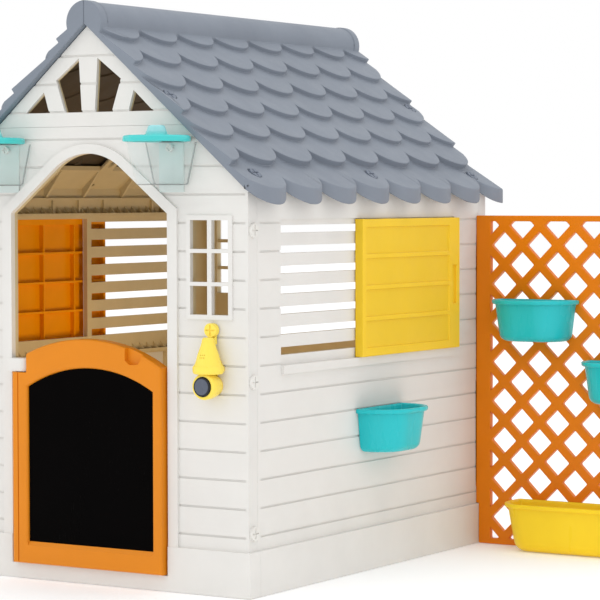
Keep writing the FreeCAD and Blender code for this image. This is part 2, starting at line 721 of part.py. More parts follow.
def door_leaf():
    """The half door: an arched frame with a web behind the chalkboard, notched for the upper bracket."""
    body = new_body("door_leaf")
    leaf = new_sketch(body, "leaf_outline")
    half = "((leaf_right - leaf_left) / 2)"
    rise = "(leaf_top - leaf_shoulder)"
    outline(leaf, [
        ("leaf_left", "leaf_bottom"),
        ("leaf_right", "leaf_bottom"),
        ("leaf_right", "leaf_shoulder"),
        ("leaf_left", "leaf_shoulder"),
    ], {2: f"({half} ^ 2 + {rise} ^ 2) / (2 * {rise})"})
    pad(body, leaf, "leaf_front", "leaf_back")
    window = new_sketch(body, "board_recess", behind="-leaf_front")
    chalk_outline(window, "0")
    recess = pocket(body, window, "board_depth + board_thick")
    doc.recompute()
    front = [
        f"Edge{number}" for number, edge in enumerate(recess.Shape.Edges, start=1)
        if max(abs(vertex.Y + size("leaf_front")) for vertex in edge.Vertexes) < 0.01
    ]
    rounding = body.newObject("PartDesign::Fillet", "rounded_edges")
    rounding.Base = (recess, front)
    bind(rounding, Radius=EDGE_RADIUS)
    notch = new_sketch(body, "bracket_notch")
    rectangle(notch, "leaf_left - 1", "pivot_left + bracket_radius + 2", "bracket_bottom - 2", "leaf_top")
    pocket(body, notch)
    slope = new_sketch(body, "sill_slope", "YZ_Plane", "-board_left")
    outline(slope, [
        ("-leaf_front - 1", "board_bottom - 11"),
        ("-leaf_front + board_depth", "board_bottom + 0.5"),
        ("-leaf_front - 1", "board_bottom + 0.5"),
    ])
    sill = pocket(body, slope, "board_right - board_left")
    sill.Reversed = True
    stile = new_sketch(body, "stile_groove", behind="-leaf_front")
    groove_ends = (f"leaf_left + {STILE_WIDTH}", f"leaf_left + {STILE_WIDTH + STILE_GROOVE_WIDTH}")
    rectangle(stile, *groove_ends, "leaf_bottom - 1", "bracket_bottom")
    pocket(body, stile, STILE_GROOVE_DEPTH)
    grip = new_sketch(body, "finger_grip", behind="-leaf_front")
    outline(grip, GRIP_OUTLINE)
    pocket(body, grip, GRIP_DEPTH)
    pins = new_sketch(body, "pin_holes", "XY_Plane", "-leaf_bottom")
    round_hole(pins, "pivot_left", "0", "pivot_radius")
    bore = pocket(body, pins, "bracket_bottom")
    bore.Reversed = True
    return body


def chalk_outline(sketch, gap):
    """The arched outline of the chalkboard, smaller all round by a gap."""
    half = "((board_right - board_left) / 2)"
    rise = "(board_top - board_shoulder)"
    outline(sketch, [
        (f"board_left + {gap}", f"board_bottom + {gap}"),
        (f"board_right - {gap}", f"board_bottom + {gap}"),
        (f"board_right - {gap}", f"board_shoulder - {gap} / 2"),
        (f"board_left + {gap}", f"board_shoulder - {gap} / 2"),
    ], {2: f"({half} ^ 2 + {rise} ^ 2) / (2 * {rise})"})


def chalkboard():
    """The black panel in the door."""
    body = new_body("chalkboard")
    sketch = new_sketch(body, "board_outline", behind="-(leaf_front - board_depth)")
    chalk_outline(sketch, "fit_gap")
    pad(body, sketch, inwards="board_thick")


def hinge_bracket():
    """The white bracket on the jamb that holds the upper pin."""
    body = new_body("hinge_bracket")
    sketch = new_sketch(body, "bracket_outline", "XY_Plane", "-bracket_bottom")
    radius = "bracket_radius"
    outline(sketch, [
        ("-door_half_width", f"-({radius})"),
        ("pivot_left", f"-({radius})"),
        ("pivot_left + 0.01", radius),
        ("-door_half_width", radius),
    ], {1: f"{radius} + 0.01"})
    pad(body, sketch, "bracket_height")
    bore = new_sketch(body, "bracket_bore", "XY_Plane", "-(bracket_bottom + 24)")
    round_hole(bore, "pivot_left", "0", "pivot_radius + pivot_gap")
    pocket(body, bore, "24")


def cylinder(name, radius, height, base, axis=(0, 0, 1)):
    """A primitive cylinder along an axis, its radius and height tied to the sheet."""
    solid = doc.addObject("Part::Cylinder", name)
    bind(solid, Radius=radius, Height=height)
    solid.Placement = FreeCAD.Placement(V(*base), FreeCAD.Rotation(UP, V(*axis)))
    return solid


def block(name, length, width, height, base):
    """A primitive box, its sides tied to the sheet."""
    solid = doc.addObject("Part::Box", name)
    bind(solid, Length=length, Width=width, Height=height)
    solid.Placement.Base = V(*base)
    return solid


def join(label, solids):
    """Separate solids as one sub-part."""
    group = doc.addObject("Part::Compound", label + "_group")
    group.Links = solids
    return keep(group, label)


def merge(name, solids):
    """One solid from several."""
    union = doc.addObject("Part::MultiFuse", name)
    union.Shapes = solids
    return union


def cut(name, base, tool):
    """A base less a tool."""
    difference = doc.addObject("Part::Cut", name)
    difference.Base = base
    difference.Tool = tool
    return difference


def door_pins():
    """The steel pins the door swings on, one in the threshold and one in the bracket."""
    centre = (size("pivot_left"), 0)
    low = cylinder("lower_pin", "pivot_radius", PIN_LENGTH, (*centre, size("door_sill") - LOWER_PIN_DEPTH))
    high = cylinder("upper_pin", "pivot_radius", PIN_LENGTH, (*centre, size("bracket_bottom") - UPPER_PIN_DEPTH))
    join("door_pins", [low, high])


door_leaf()
chalkboard()
hinge_bracket()
door_pins()


# ------------------------------------------------------------------ shutters
SHUTTER_PANELS = 4
SHUTTER_PANEL_PITCH = 76
SHUTTER_PANEL_HEIGHT = 65
SHUTTER_PANEL_DEPTH = "4"
SHUTTER_SKIN = 9
SHUTTER_BAY_WIDTH = 124
SHUTTER_BAY_HEIGHT = 70


def shutter(label, turn):
    """A sliding shutter with four sunk panels, a grip and a ribbed back."""
    half = size("house_width") / 2
    base = (-half, size("house_depth"), 0) if turn else (half, 0, 0)
    body = new_body(label, base, turn)
    back = "(side_recess - 2)"
    front = f"(shutter_thick - {back})"
    sketch = new_sketch(body, "shutter_outline", "YZ_Plane")
    right, top = "shutter_start + shutter_length", "side_window_bottom + shutter_height"
    rectangle(sketch, "shutter_start", right, "side_window_bottom", top)
    pad(body, sketch, front, back)
    panels = new_sketch(body, "sunk_panels", "YZ_Plane", f"-{front}")
    for number in range(SHUTTER_PANELS):
        low = f"side_window_bottom + 21 + {number} * {SHUTTER_PANEL_PITCH}"
        rectangle(panels, "shutter_start + 18", f"{right} - 54", low, f"{low} + {SHUTTER_PANEL_HEIGHT}")
    pocket(body, panels, SHUTTER_PANEL_DEPTH)
    grip = new_sketch(body, "grip", "YZ_Plane", f"-{front}")
    rectangle(grip, f"{right} - 38", f"{right} - 16", "side_window_bottom + 114", "side_window_bottom + 213")
    pocket(body, grip, "8")
    bays = new_sketch(body, "rib_bays", "YZ_Plane", f"-({front} - {SHUTTER_SKIN})")
    for number in range(SHUTTER_PANELS):
        low = f"side_window_bottom + 18 + {number} * {SHUTTER_PANEL_PITCH}"
        high = f"{low} + {SHUTTER_BAY_HEIGHT}"
        for left in (10, 140, 270):
            ends = (f"shutter_start + {left}", f"shutter_start + {left + SHUTTER_BAY_WIDTH}")
            rectangle(bays, *ends, low, high)
        rectangle(bays, "shutter_start + 400", f"{right} - 44", low, high)
    pocket(body, bays, "shutter_thick")
    return body


shutter("shutter_right", 0)
shutter("shutter_left", 180)


# ------------------------------------------------------------------ roof
ROOF_WIDTH = size("house_depth") + 2 * size("roof_overhang")
TILE_PITCH = ROOF_WIDTH / size("tiles_per_row")
ROOF_ANGLE = math.atan(value(ROOF_SLOPE))
TILE_LENGTH = size("tile_row_pitch") + size("tile_tongue")
SCREW_WELL = 3
RIDGE_BAND = 26
RIDGE_BAND_PROUD = 2.5
UNDERSIDE_STEP = 5
UNDERSIDE_MARGIN = 70


def tile_row(tip, first_notch, start_height, tip_height, rise=UP):
    """One row of tiles on the slope, thicker towards their rounded ends, which rise in a direction.

    x runs down the slope from the ridge, y to the rear and z out of the slope.
    """
    tongue = size("tile_tongue")
    edges = []
    notch = first_notch
    while notch < ROOF_WIDTH - 1:
        middle = V(tip, notch + TILE_PITCH / 2, 0)
        arc = Part.Arc(V(tip - tongue, notch, 0), middle, V(tip - tongue, notch + TILE_PITCH, 0))
        edges.append(arc.toShape())
        notch += TILE_PITCH
    corners = [
        V(tip - tongue, notch, 0),
        V(tip - TILE_LENGTH, notch, 0),
        V(tip - TILE_LENGTH, first_notch, 0),
        V(tip - tongue, first_notch, 0),
    ]
    edges += [Part.makeLine(start, stop) for start, stop in zip(corners, corners[1:])]
    tongues = Part.Face(Part.Wire(Part.sortEdges(edges)[0])).extrude(rise * (tip_height * 1.5))
    section = [
        V(tip - TILE_LENGTH, 0, 0),
        V(tip, 0, 0),
        V(tip, 0, tip_height),
        V(tip - TILE_LENGTH, 0, start_height),
        V(tip - TILE_LENGTH, 0, 0),
    ]
    wedge = Part.Face(Part.makePolygon(section)).extrude(V(0, ROOF_WIDTH, 0))
    return tongues.common(wedge)


def on_slope(shape):
    """Moves a shape from the frame of the slope to the right-hand side of the roof."""
    shape.Placement = FreeCAD.Placement(
        V(0, -size("roof_overhang"), size("roof_underside")),
        FreeCAD.Rotation(V(0, 1, 0), math.degrees(ROOF_ANGLE)),
    ).multiply(shape.Placement)
    return shape


ROOF_SCREWS = [(GABLE_SCREW_SLOPE, y) for y in (GABLE_SCREW_DEPTH, size("house_depth") - GABLE_SCREW_DEPTH)]
ROOF_SCREWS += [(EAVE_SCREW_X / math.cos(ROOF_ANGLE), y) for y in ROOF_SCREW_DEPTHS]


def screw_place(slope, depth, height):
    """Where a roof screw stands on the slope, at a height out of it."""
    return V(slope, depth + size("roof_overhang"), height)


def underside_hollows():
    """Shallow scalloped steps under the panel, between the gables, where each tile's end is hollow."""
    rows = []
    for number in range(1, int(size("tile_rows"))):
        tip = size("eave_reach") - size("tile_row_start") - number * size("tile_row_pitch")
        first_notch = -TILE_PITCH / 2 if number % 2 else 0
        rows.append(tile_row(tip, first_notch, 0.01, UNDERSIDE_STEP))
    inner_length = size("eave_reach") - 2 * UNDERSIDE_MARGIN - size("tile_tongue")
    inner_width = ROOF_WIDTH - 2 * UNDERSIDE_MARGIN
    room = Part.makeBox(inner_length, inner_width, 20, V(UNDERSIDE_MARGIN, UNDERSIDE_MARGIN, -5))
    return [row.common(room) for row in rows]


def roof_shape():
    """The right-hand roof panel: a skin, seven rows of tiles, screw wells and half the ridge roll."""
    skin, reach = size("roof_skin"), size("eave_reach")
    step = size("tile_step") * TILE_LENGTH / size("tile_row_pitch")
    slab = Part.makeBox(reach - size("tile_tongue") - 1, ROOF_WIDTH, skin)
    plumb = V(-math.sin(ROOF_ANGLE), 0, math.cos(ROOF_ANGLE))
    rows = [tile_row(reach, 0, skin, size("eave_thick"), plumb)]
    for number in range(1, int(size("tile_rows"))):
        tip = reach - size("tile_row_start") - number * size("tile_row_pitch")
        first_notch = -TILE_PITCH / 2 if number % 2 else 0
        rows.append(tile_row(tip, first_notch, skin, skin + step))
    panel = slab.multiFuse(rows)
    tools = []
    for slope, depth in ROOF_SCREWS:
        well = size("screw_head_radius") + 2
        tools.append(Part.makeCylinder(well, 60, screw_place(slope, depth, skin + SCREW_WELL)))
        hole = size("screw_radius") + size("screw_hole_gap")
        tools.append(Part.makeCylinder(hole, 80, screw_place(slope, depth, -20)))
    panel = on_slope(panel.cut(Part.makeCompound(tools)).cut(underside_hollows()))
    start = V(0, -size("roof_overhang"), size("ridge_centre"))
    roll = Part.makeCylinder(size("ridge_radius"), ROOF_WIDTH, start, V(0, 1, 0))
    for away in (0, ROOF_WIDTH - RIDGE_BAND):
        band_radius = size("ridge_radius") + RIDGE_BAND_PROUD
        roll = roll.fuse(Part.makeCylinder(band_radius, RIDGE_BAND, start + V(0, away, 0), V(0, 1, 0)))
    roll = roll.cut(on_slope(Part.makeBox(reach, ROOF_WIDTH, 300, V(-60, 0, -300))))
    right_half = Part.makeBox(700, 2 * ROOF_WIDTH, 700, V(size("fit_gap") / 2, -200, 800))
    return panel.fuse(roll).common(right_half)


def feature(label, shape, base=(0, 0, 0), turn=0):
    """A sub-part from a shape worked out from the sheet, with its own placement."""
    part = doc.addObject("Part::Feature", label + "_shape")
    part.Shape = shape
    part.Placement = FreeCAD.Placement(V(*base), FreeCAD.Rotation(UP, turn)).multiply(shape.Placement)
    return keep(part, label)


ROOF = roof_shape()
feature("roof_panel_right", ROOF)
feature("roof_panel_left", ROOF, (0, size("house_depth"), 0), 180)


# ------------------------------------------------------------------ screws
def screw_master(name, head_radius):
    """A plastic screw with a cross slot: its head stands on z = 0 and its shank points down."""
    head = cylinder(f"{name}_head", head_radius, "screw_head_height", (0, 0, 0))
    shank = cylinder(f"{name}_shank", "screw_radius", "screw_length", (0, 0, -size("screw_length")))
    radius = value(head_radius)
    slots = []
    for turn in (0, 90):
        slot = block(f"{name}_slot_{turn}", f"1.5 * ({head_radius})", "3", "4", (0, 0, 0))
        middle = V(-0.75 * radius, -1.5, size("screw_head_height") - 3)
        spin = FreeCAD.Rotation(UP, turn)
        slot.Placement = FreeCAD.Placement(spin.multVec(middle), spin)
        slots.append(slot)
    return cut(name, merge(f"{name}_blank", [head, shank]), merge(f"{name}_cross", slots))


BIG_SCREW = screw_master("big_screw", "screw_head_radius")
SMALL_SCREW = screw_master("small_screw", "9")
doc.recompute()


def screws(label, places, master=BIG_SCREW):
    """A group of identical screws: each place is the point under the head and the way the head faces."""
    solids = []
    for base, facing in places:
        screw = master.Shape.copy()
        screw.Placement = FreeCAD.Placement(V(*base), FreeCAD.Rotation(UP, V(*facing)))
        solids.append(screw)
    feature(label, Part.makeCompound(solids))


def corner_screw_places(side):
    """Three screws up each of the two corner strips on one side of the house."""
    depths = (CORNER_SCREW_INSET, size("house_depth") - CORNER_SCREW_INSET)
    x = side * size("house_width") / 2
    return [((x, y, z), (side, 0, 0)) for y in depths for z in CORNER_SCREW_HEIGHTS]


def roof_screw_places(side):
    """The five screws of one roof panel, in their wells."""
    across, up = math.sin(ROOF_ANGLE), math.cos(ROOF_ANGLE)
    seat = size("roof_skin") + SCREW_WELL
    places = []
    for slope, y in ROOF_SCREWS:
        x = slope * up + seat * across
        z = size("roof_underside") - slope * across + seat * up
        places.append(((side * x, y, z), (side * across, 0, up)))
    return places


for side_name, side in (("right", 1), ("left", -1)):
    screws(f"corner_screws_{side_name}", corner_screw_places(side))
    screws(f"roof_screws_{side_name}", roof_screw_places(side))


# ------------------------------------------------------------------ trellis
def trellis():
    """The free-standing lattice screen, plugged on to the side wall."""
    body = new_body("trellis", (0, size("trellis_front"), 0))
    right = "trellis_left + trellis_width"
    panel = new_sketch(body, "panel_outline")
    rectangle(panel, "trellis_left", right, "0", "trellis_height")
    pad(body, panel, inwards="trellis_thick")
    reach = "(lattice_pitch / 2 - lattice_slat * 0.7071)"
    starts = [
        ("lattice_first_x", "lattice_first_z - 7 * lattice_pitch"),
        ("lattice_first_x - lattice_pitch / 2", "lattice_first_z - 7.5 * lattice_pitch"),
    ]
    for number, (x, z) in enumerate(starts):
        hole = new_sketch(body, f"lattice_hole_{number}")
        outline(hole, [(x, f"{z} - {reach}"), (f"{x} + {reach}", z), (x, f"{z} + {reach}"), (f"{x} - {reach}", z)])
        opening = pocket(body, hole)
        pattern = repeat(body, opening, "X_Axis", 6 + number, "lattice_pitch")
        rise = [item for item in body.Origin.OriginFeatures if item.Role == "Z_Axis"][0]
        pattern.Direction2 = (rise, [""])
        pattern.Mode2 = "Spacing"
        # Counted with the row that would fall beyond the top rail.
        bind(pattern, Occurrences2="9", Offset2="lattice_pitch")
    x, z = starts[1][0], "(lattice_first_z + lattice_pitch / 2)"
    ceiling = "(trellis_height - trellis_rail)"
    crop = f"({reach} - {ceiling} + {z})"
    cropped = new_sketch(body, "cropped_hole")
    outline(cropped, [
        (x, f"{z} - {reach}"),
        (f"{x} + {reach}", z),
        (f"{x} + {crop}", ceiling),
        (f"{x} - {crop}", ceiling),
        (f"{x} - {reach}", z),
    ])
    repeat(body, pocket(body, cropped), "X_Axis", 6, "lattice_pitch")
    frame = new_sketch(body, "frame")
    rectangle(frame, "trellis_left", right, "0", "trellis_height")
    inner_left, inner_right = "trellis_left + trellis_post", f"{right} - trellis_rail"
    rectangle(frame, inner_left, inner_right, "trellis_rail", "trellis_height - trellis_rail")
    pad(body, frame, inwards="trellis_thick")
    notch = new_sketch(body, "plinth_notch")
    rectangle(notch, "trellis_left - 1", "house_width / 2 + plinth_proud + 1", "-1", "plinth_height + 1")
    pocket(body, notch)
    pegs = new_sketch(body, "peg_sockets", "YZ_Plane", "-trellis_left")
    for level in TRELLIS_PEG_HEIGHTS:
        round_hole(pegs, "trellis_thick / 2", str(level), "6")
    socket = pocket(body, pegs, "20")
    socket.Reversed = True
    return body


def trellis_pegs():
    """Push-in pegs between the trellis post and the side wall."""
    depth = size("trellis_front") + size("trellis_thick") / 2
    start = size("trellis_left") - 18
    pegs = [cylinder(f"peg_{z}", "5.9", "36", (start, depth, z), (1, 0, 0)) for z in TRELLIS_PEG_HEIGHTS]
    join("trellis_pegs", pegs)


trellis()
trellis_pegs()


# ------------------------------------------------------------------ planters
def tub_wire(half_width, depth, corner, back, height):
    """A flat-backed outline with rounded front corners; y runs to the rear and is back at the flat."""
    bend = corner * (1 - math.sqrt(0.5))
    left_side = V(-half_width, -depth + corner, height)
    left_bend = V(-half_width + bend, -depth + bend, height)
    left_front = V(-half_width + corner, -depth, height)
    right_front = V(half_width - corner, -depth, height)
    right_bend = V(half_width - bend, -depth + bend, height)
    right_side = V(half_width, -depth + corner, height)
    left_back, right_back = V(-half_width, back, height), V(half_width, back, height)
    return Part.Wire([
        Part.makeLine(left_back, left_side),
        Part.Arc(left_side, left_bend, left_front).toShape(),
        Part.makeLine(left_front, right_front),
        Part.Arc(right_front, right_bend, right_side).toShape(),
        Part.makeLine(right_side, right_back),
        Part.makeLine(right_back, left_back),
    ])


def tub(width, depth, height, corner, taper, hooks=(), hook_drop=0, hook_reach=0):
    """A hanging tub with a rolled rim; its rim is at z = 0, its flat back at y = 0."""
    wall, rim = size("planter_wall"), size("rim_width")
    half, deep = width / 2 - rim, depth - rim
    low = -height

    def wires(inset, bottom, top):
        """The outlines at the floor and the top, inset from the outer face."""
        floor = tub_wire(half * taper - inset, deep * taper - inset, corner * taper - inset, -inset, bottom)
        return [floor, tub_wire(half - inset, deep - inset, corner - inset, -inset, top)]

    body = Part.makeLoft(wires(0, low, 0), True, True)
    hollow = Part.makeLoft(wires(wall, low + wall, 0.01), True, True)
    rim_height = size("rim_height")
    roll = Part.Face(tub_wire(width / 2, depth, corner + rim, 0, -rim_height)).extrude(V(0, 0, rim_height))
    shape = body.fuse(roll).cut(hollow)
    for offset in hooks:
        arm = Part.makeBox(HOOK_WIDTH, hook_reach + 5, HOOK_ARM, V(offset - HOOK_WIDTH / 2, -1, -hook_drop))
        lip_base = V(offset - HOOK_WIDTH / 2, hook_reach, -hook_drop - 9)
        lip = Part.makeBox(HOOK_WIDTH, 5, HOOK_ARM + 9, lip_base)
        shape = shape.fuse([arm, lip])
    return shape.removeSplitter()


HOOKS = (-HOOK_SPREAD, HOOK_SPREAD)
PLANTER_SIZE = [size("planter_" + name) for name in ("width", "depth", "height", "corner", "taper")]
TRELLIS_HOOK_DROP = 44
WALL_HOOK_DROP = 66
HOLE_REACH = size("lattice_pitch") / 2 - size("lattice_slat") * math.sqrt(0.5)
HALF_PITCH = size("lattice_pitch") / 2


def lattice_hole(column, row):
    """The middle of a lattice hole, counted in half pitches from the first one."""
    return size("lattice_first_x") + column * HALF_PITCH, size("lattice_first_z") - row * HALF_PITCH


def trellis_planter(label, column, row):
    """A tub hung by its two hooks in the lattice holes either side of a column."""
    x, z = lattice_hole(column, row)
    rim = z - HOLE_REACH + HOOK_WIDTH / 2 + 1 + TRELLIS_HOOK_DROP
    shape = tub(*PLANTER_SIZE, HOOKS, TRELLIS_HOOK_DROP, size("trellis_thick") + 1)
    feature(label, shape, (x, size("trellis_front") - 0.4, rim))


wall_tub = tub(*PLANTER_SIZE, HOOKS, WALL_HOOK_DROP, size("wall_skin") + 1)
wall_face = size("house_width") / 2 + 0.4
feature("wall_planter", wall_tub, (wall_face, WALL_PLANTER_Y, WALL_HOOK_HEIGHT + WALL_HOOK_DROP), 90)
trellis_planter("trellis_planter_upper", 2, 3)
trellis_planter("trellis_planter_lower", 7, 6)
trough = tub(*[size("trough_" + name) for name in ("width", "depth", "height", "corner", "taper")])
trough_x = lattice_hole(5, 0)[0]
feature("trough_planter", trough, (trough_x, size("trellis_front") - 0.4, size("trough_height")))


# ------------------------------------------------------------------ lanterns
def frustum(lower, upper, bottom, top, inset=0.0):
    """A cone round the lantern's own axis."""
    return Part.makeCone(lower - inset, upper - inset, top - bottom, V(0, -size("lantern_stand_off"), bottom))


def half_space(front, back):
    """Everything between two planes parallel to the front wall."""
    return Part.makeBox(400, back - front, 2000, V(-200, front, 0))


def lantern(side_name, x):
    """A play lantern: wall plate, clear shade and capped top."""
    base, top = size("lantern_base"), size("lantern_cap_bottom")
    wall = size("lantern_wall")
    low, high = size("lantern_base_radius"), size("lantern_top_radius")
    plate = Part.makeBox(68, 4, top - base + 16, V(-34, -4, base - 16.4))
    hole = Part.makeCylinder(size("screw_radius") + 0.5, 30, V(0, -20, LANTERN_SCREW_HEIGHT), V(0, 1, 0))
    shade = frustum(low, high, base, top).common(half_space(-200, -4.4))
    hollow = frustum(low, high, base, top, wall).common(half_space(-200, -4.4 - wall))
    hollow.translate(V(0, 0, wall))
    shade = shade.cut(hollow).cut(hole)
    radius = size("lantern_cap_radius")
    thick = size("lantern_cap_thick")
    axis = V(0, -size("lantern_stand_off"), top + 0.3)
    cap = Part.makeCylinder(radius, thick, axis)
    cap = cap.makeFillet(4, [edge for edge in cap.Edges if edge.Closed]).common(half_space(-200, -0.3))
    knob = Part.makeCone(25, 19, 24, axis + V(0, 0, thick - 1))
    rounded = [edge for edge in knob.Edges if edge.Closed and edge.CenterOfMass.z > axis.z + thick + 10]
    knob = knob.makeFillet(6, rounded)
    feature(f"lantern_plate_{side_name}", plate.cut(hole), (x, 0, 0))
    feature(f"lantern_shade_{side_name}", shade, (x, 0, 0))
    feature(f"lantern_cap_{side_name}", cap.fuse(knob), (x, 0, 0))


lantern("right", size("lantern_offset"))
lantern("left", -size("lantern_offset"))
lantern_seat = -4.4 - size("lantern_wall")
lantern_places = [((x, lantern_seat, LANTERN_SCREW_HEIGHT), (0, -1, 0))
                  for x in (size("lantern_offset"), -size("lantern_offset"))]
screws("lantern_screws", lantern_places, SMALL_SCREW)


# ------------------------------------------------------------------ doorbell
BELL_X = size("bell_x")
BELL_AXIS = -size("bell_stand_off")
BUTTON_GAP = 1.3
SOUND_HOLE_HEIGHT = 547
LIP_PROUD = 2
SPEAKER_HEIGHT = 539


def turned(curve, corners):
    """The face between a curve and the straight sides that close it."""
    sides = [Part.makeLine(start, stop) for start, stop in zip(corners, corners[1:])]
    return Part.Face(Part.Wire(Part.sortEdges([curve.toShape()] + sides)[0]))


def bell_body(inset):
    """The bell and the ball under it, both lathe-turned and cut off flat at the wall."""
    top, underside = size("bell_top") - inset, size("bell_lip_bottom") + inset
    neck, lip = size("bell_neck_radius") - inset, size("bell_lip_radius") - inset
    flare = Part.BSplineCurve()
    flare.interpolate([
        V(neck, 0, top - 4),
        V(neck + 5, 0, top - 23),
        V(neck + 11, 0, top - 40),
        V(lip - 3 - LIP_PROUD, 0, size("bell_lip_top") + 5),
        V(lip - LIP_PROUD, 0, size("bell_lip_top")),
    ])
    bell = turned(flare, [
        V(lip - LIP_PROUD, 0, size("bell_lip_top")),
        V(lip - 1, 0, size("bell_lip_top")),
        V(lip, 0, size("bell_lip_top") - 2),
        V(lip, 0, underside + 6),
        V(lip - 1.5, 0, underside + 2),
        V(lip - 4, 0, underside),
        V(0, 0, underside),
        V(0, 0, top),
        V(neck - 3, 0, top),
        V(neck, 0, top - 4),
    ]).revolve(V(0, 0, 0), UP, 360)

    ball_radius = size("bell_ball_radius") - inset
    flat, back = -(size("bell_flat") + BELL_AXIS) + inset, -BELL_AXIS - 3
    belly = Part.BSplineCurve()
    belly.interpolate([
        V(ball_radius - 5, flat, 0),
        V(ball_radius - 1, flat + 2.5, 0),
        V(ball_radius, flat + 7, 0),
        V(ball_radius, flat + 18, 0),
        V(ball_radius - 2, back - 13, 0),
        V(ball_radius - 5.5, back + 1, 0),
    ])
    ball = turned(belly, [
        V(ball_radius - 5.5, back + 1, 0),
        V(0, back + 1, 0),
        V(0, flat, 0),
        V(ball_radius - 5, flat, 0),
    ]).revolve(V(0, 0, 0), V(0, 1, 0), 360)
    ball.translate(V(0, 0, size("bell_ball_height")))
    room = Part.makeBox(200, 200, 400, V(-100, back - 200 + (1 if inset else 0), 400))
    return bell.fuse(ball).common(room)


def doorbell():
    """The toy doorbell: housing, back plate, button, spring, board, cells and speaker."""
    wall = size("bell_wall")
    ball_z = size("bell_ball_height")
    outer, inner = bell_body(0), bell_body(wall)
    lug = Part.makeCylinder(16, 7, V(0, -BELL_AXIS - 10, BELL_SCREW_HEIGHT), V(0, 1, 0))
    neck = Part.makeBox(20, 7, 30, V(-10, -BELL_AXIS - 10, size("bell_top") - 14))
    root = Part.makeBox(20, 15, 14, V(-10, -BELL_AXIS - 18, size("bell_top") - 16))
    housing = outer.fuse([lug, neck, root]).cut(inner)
    tools = [
        Part.makeCylinder(size("screw_radius") + 0.5, 20, V(0, -BELL_AXIS - 15, BELL_SCREW_HEIGHT), V(0, 1, 0)),
        Part.makeCylinder(size("button_radius") + BUTTON_GAP, 40, V(0, -40, ball_z), V(0, 1, 0)),
    ]
    for column in (-1, 0, 1):
        for row in (0, 1):
            tools.append(Part.makeCylinder(1.3, 40, V(5 * column, -40, SOUND_HOLE_HEIGHT + 6 * row), V(0, 1, 0)))
    housing = housing.cut(Part.makeCompound(tools))
    place = (BELL_X, BELL_AXIS, 0)
    feature("bell_housing", housing, place)

    slice_y = -BELL_AXIS - 4
    silhouette = bell_body(1).common(Part.makeBox(200, 1, 400, V(-100, slice_y, 400)))
    faces = [item for item in silhouette.Faces if item.normalAt(0, 0).y < -0.9]
    plate = Part.makeCompound([item.extrude(V(0, 2.4, 0)) for item in faces])
    plate.translate(V(0, 1.3, 0))
    bridge = Part.makeBox(20, 2.4, 40, V(-10, slice_y + 1.3, ball_z + 10))
    plate = bridge.multiFuse(plate.Solids)
    feature("bell_back_plate", plate, place)

    flat = -(size("bell_flat") + BELL_AXIS)
    button = Part.makeCylinder(size("button_radius"), 8 + wall, V(0, flat - 5, ball_z), V(0, 1, 0))
    button = button.makeFillet(2, [edge for edge in button.Edges if edge.CenterOfMass.y < flat - 4.9])
    flange = Part.makeCylinder(size("button_radius") + 2, 1.6, V(0, flat + wall + 1.3, ball_z), V(0, 1, 0))
    stem = Part.makeCylinder(4, 10.5, V(0, flat + wall + 2, ball_z), V(0, 1, 0))
    feature("bell_button", button.fuse([flange, stem]), place)

    start = flat + wall + 3.2
    board_face = start + 16
    coil = Part.makeHelix(3.2, board_face - start - 1.6, 6.5)
    section = Part.Wire(Part.makeCircle(0.6, V(6.5, 0, 0), V(0, 1, 0.08)))
    spring = Part.Wire(coil).makePipeShell([section], True, False)
    spring.Placement = FreeCAD.Placement(V(0, start + 0.8, ball_z), FreeCAD.Rotation(UP, V(0, 1, 0)))
    feature("button_spring", spring, place)

    board = Part.makeBox(30, 1.6, 34, V(-15, board_face, ball_z - 17))
    switch = Part.makeCylinder(3, 2, V(0, board_face - 2, ball_z), V(0, 1, 0))
    feature("bell_circuit_board", board.fuse(switch), place)
    cells = [Part.makeCylinder(5.8, 5.2, V(0, board_face + 2 + 5.4 * number, ball_z), V(0, 1, 0))
             for number in range(3)]
    feature("bell_cells", Part.makeCompound(cells), place)
    feature("bell_speaker", Part.makeCylinder(13, 6, V(0, 0, SPEAKER_HEIGHT), V(0, 1, 0)), place)


doorbell()
screws("bell_screw", [((BELL_X, -10, BELL_SCREW_HEIGHT), (0, -1, 0))])


# ------------------------------------------------------------------ checks and files
doc.recompute()
for obj in doc.Objects:
    if "Invalid" in obj.State or "Error" in obj.State:
        raise RuntimeError(f"{obj.Label} failed: {obj.State}")
os.makedirs("parts", exist_ok=True)
for part in SUBPARTS:
    shape = part.Shape
    if shape.isNull() or not shape.isValid():
        raise RuntimeError(f"{part.Label} has no valid shape")
    shape.exportStep(f"parts/{part.Label}.step")
    box = shape.BoundBox
    print(f"{part.Label:26s} solids {len(shape.Solids):3d}  volume {shape.Volume / 1e3:9.1f} cm3  "
          f"X {box.XMin:7.1f} {box.XMax:7.1f}  Y {box.YMin:7.1f} {box.YMax:7.1f}  "
          f"Z {box.ZMin:7.1f} {box.ZMax:7.1f}")
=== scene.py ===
import json
import math

import bmesh
import bpy
from mathutils import Euler, Matrix, Vector


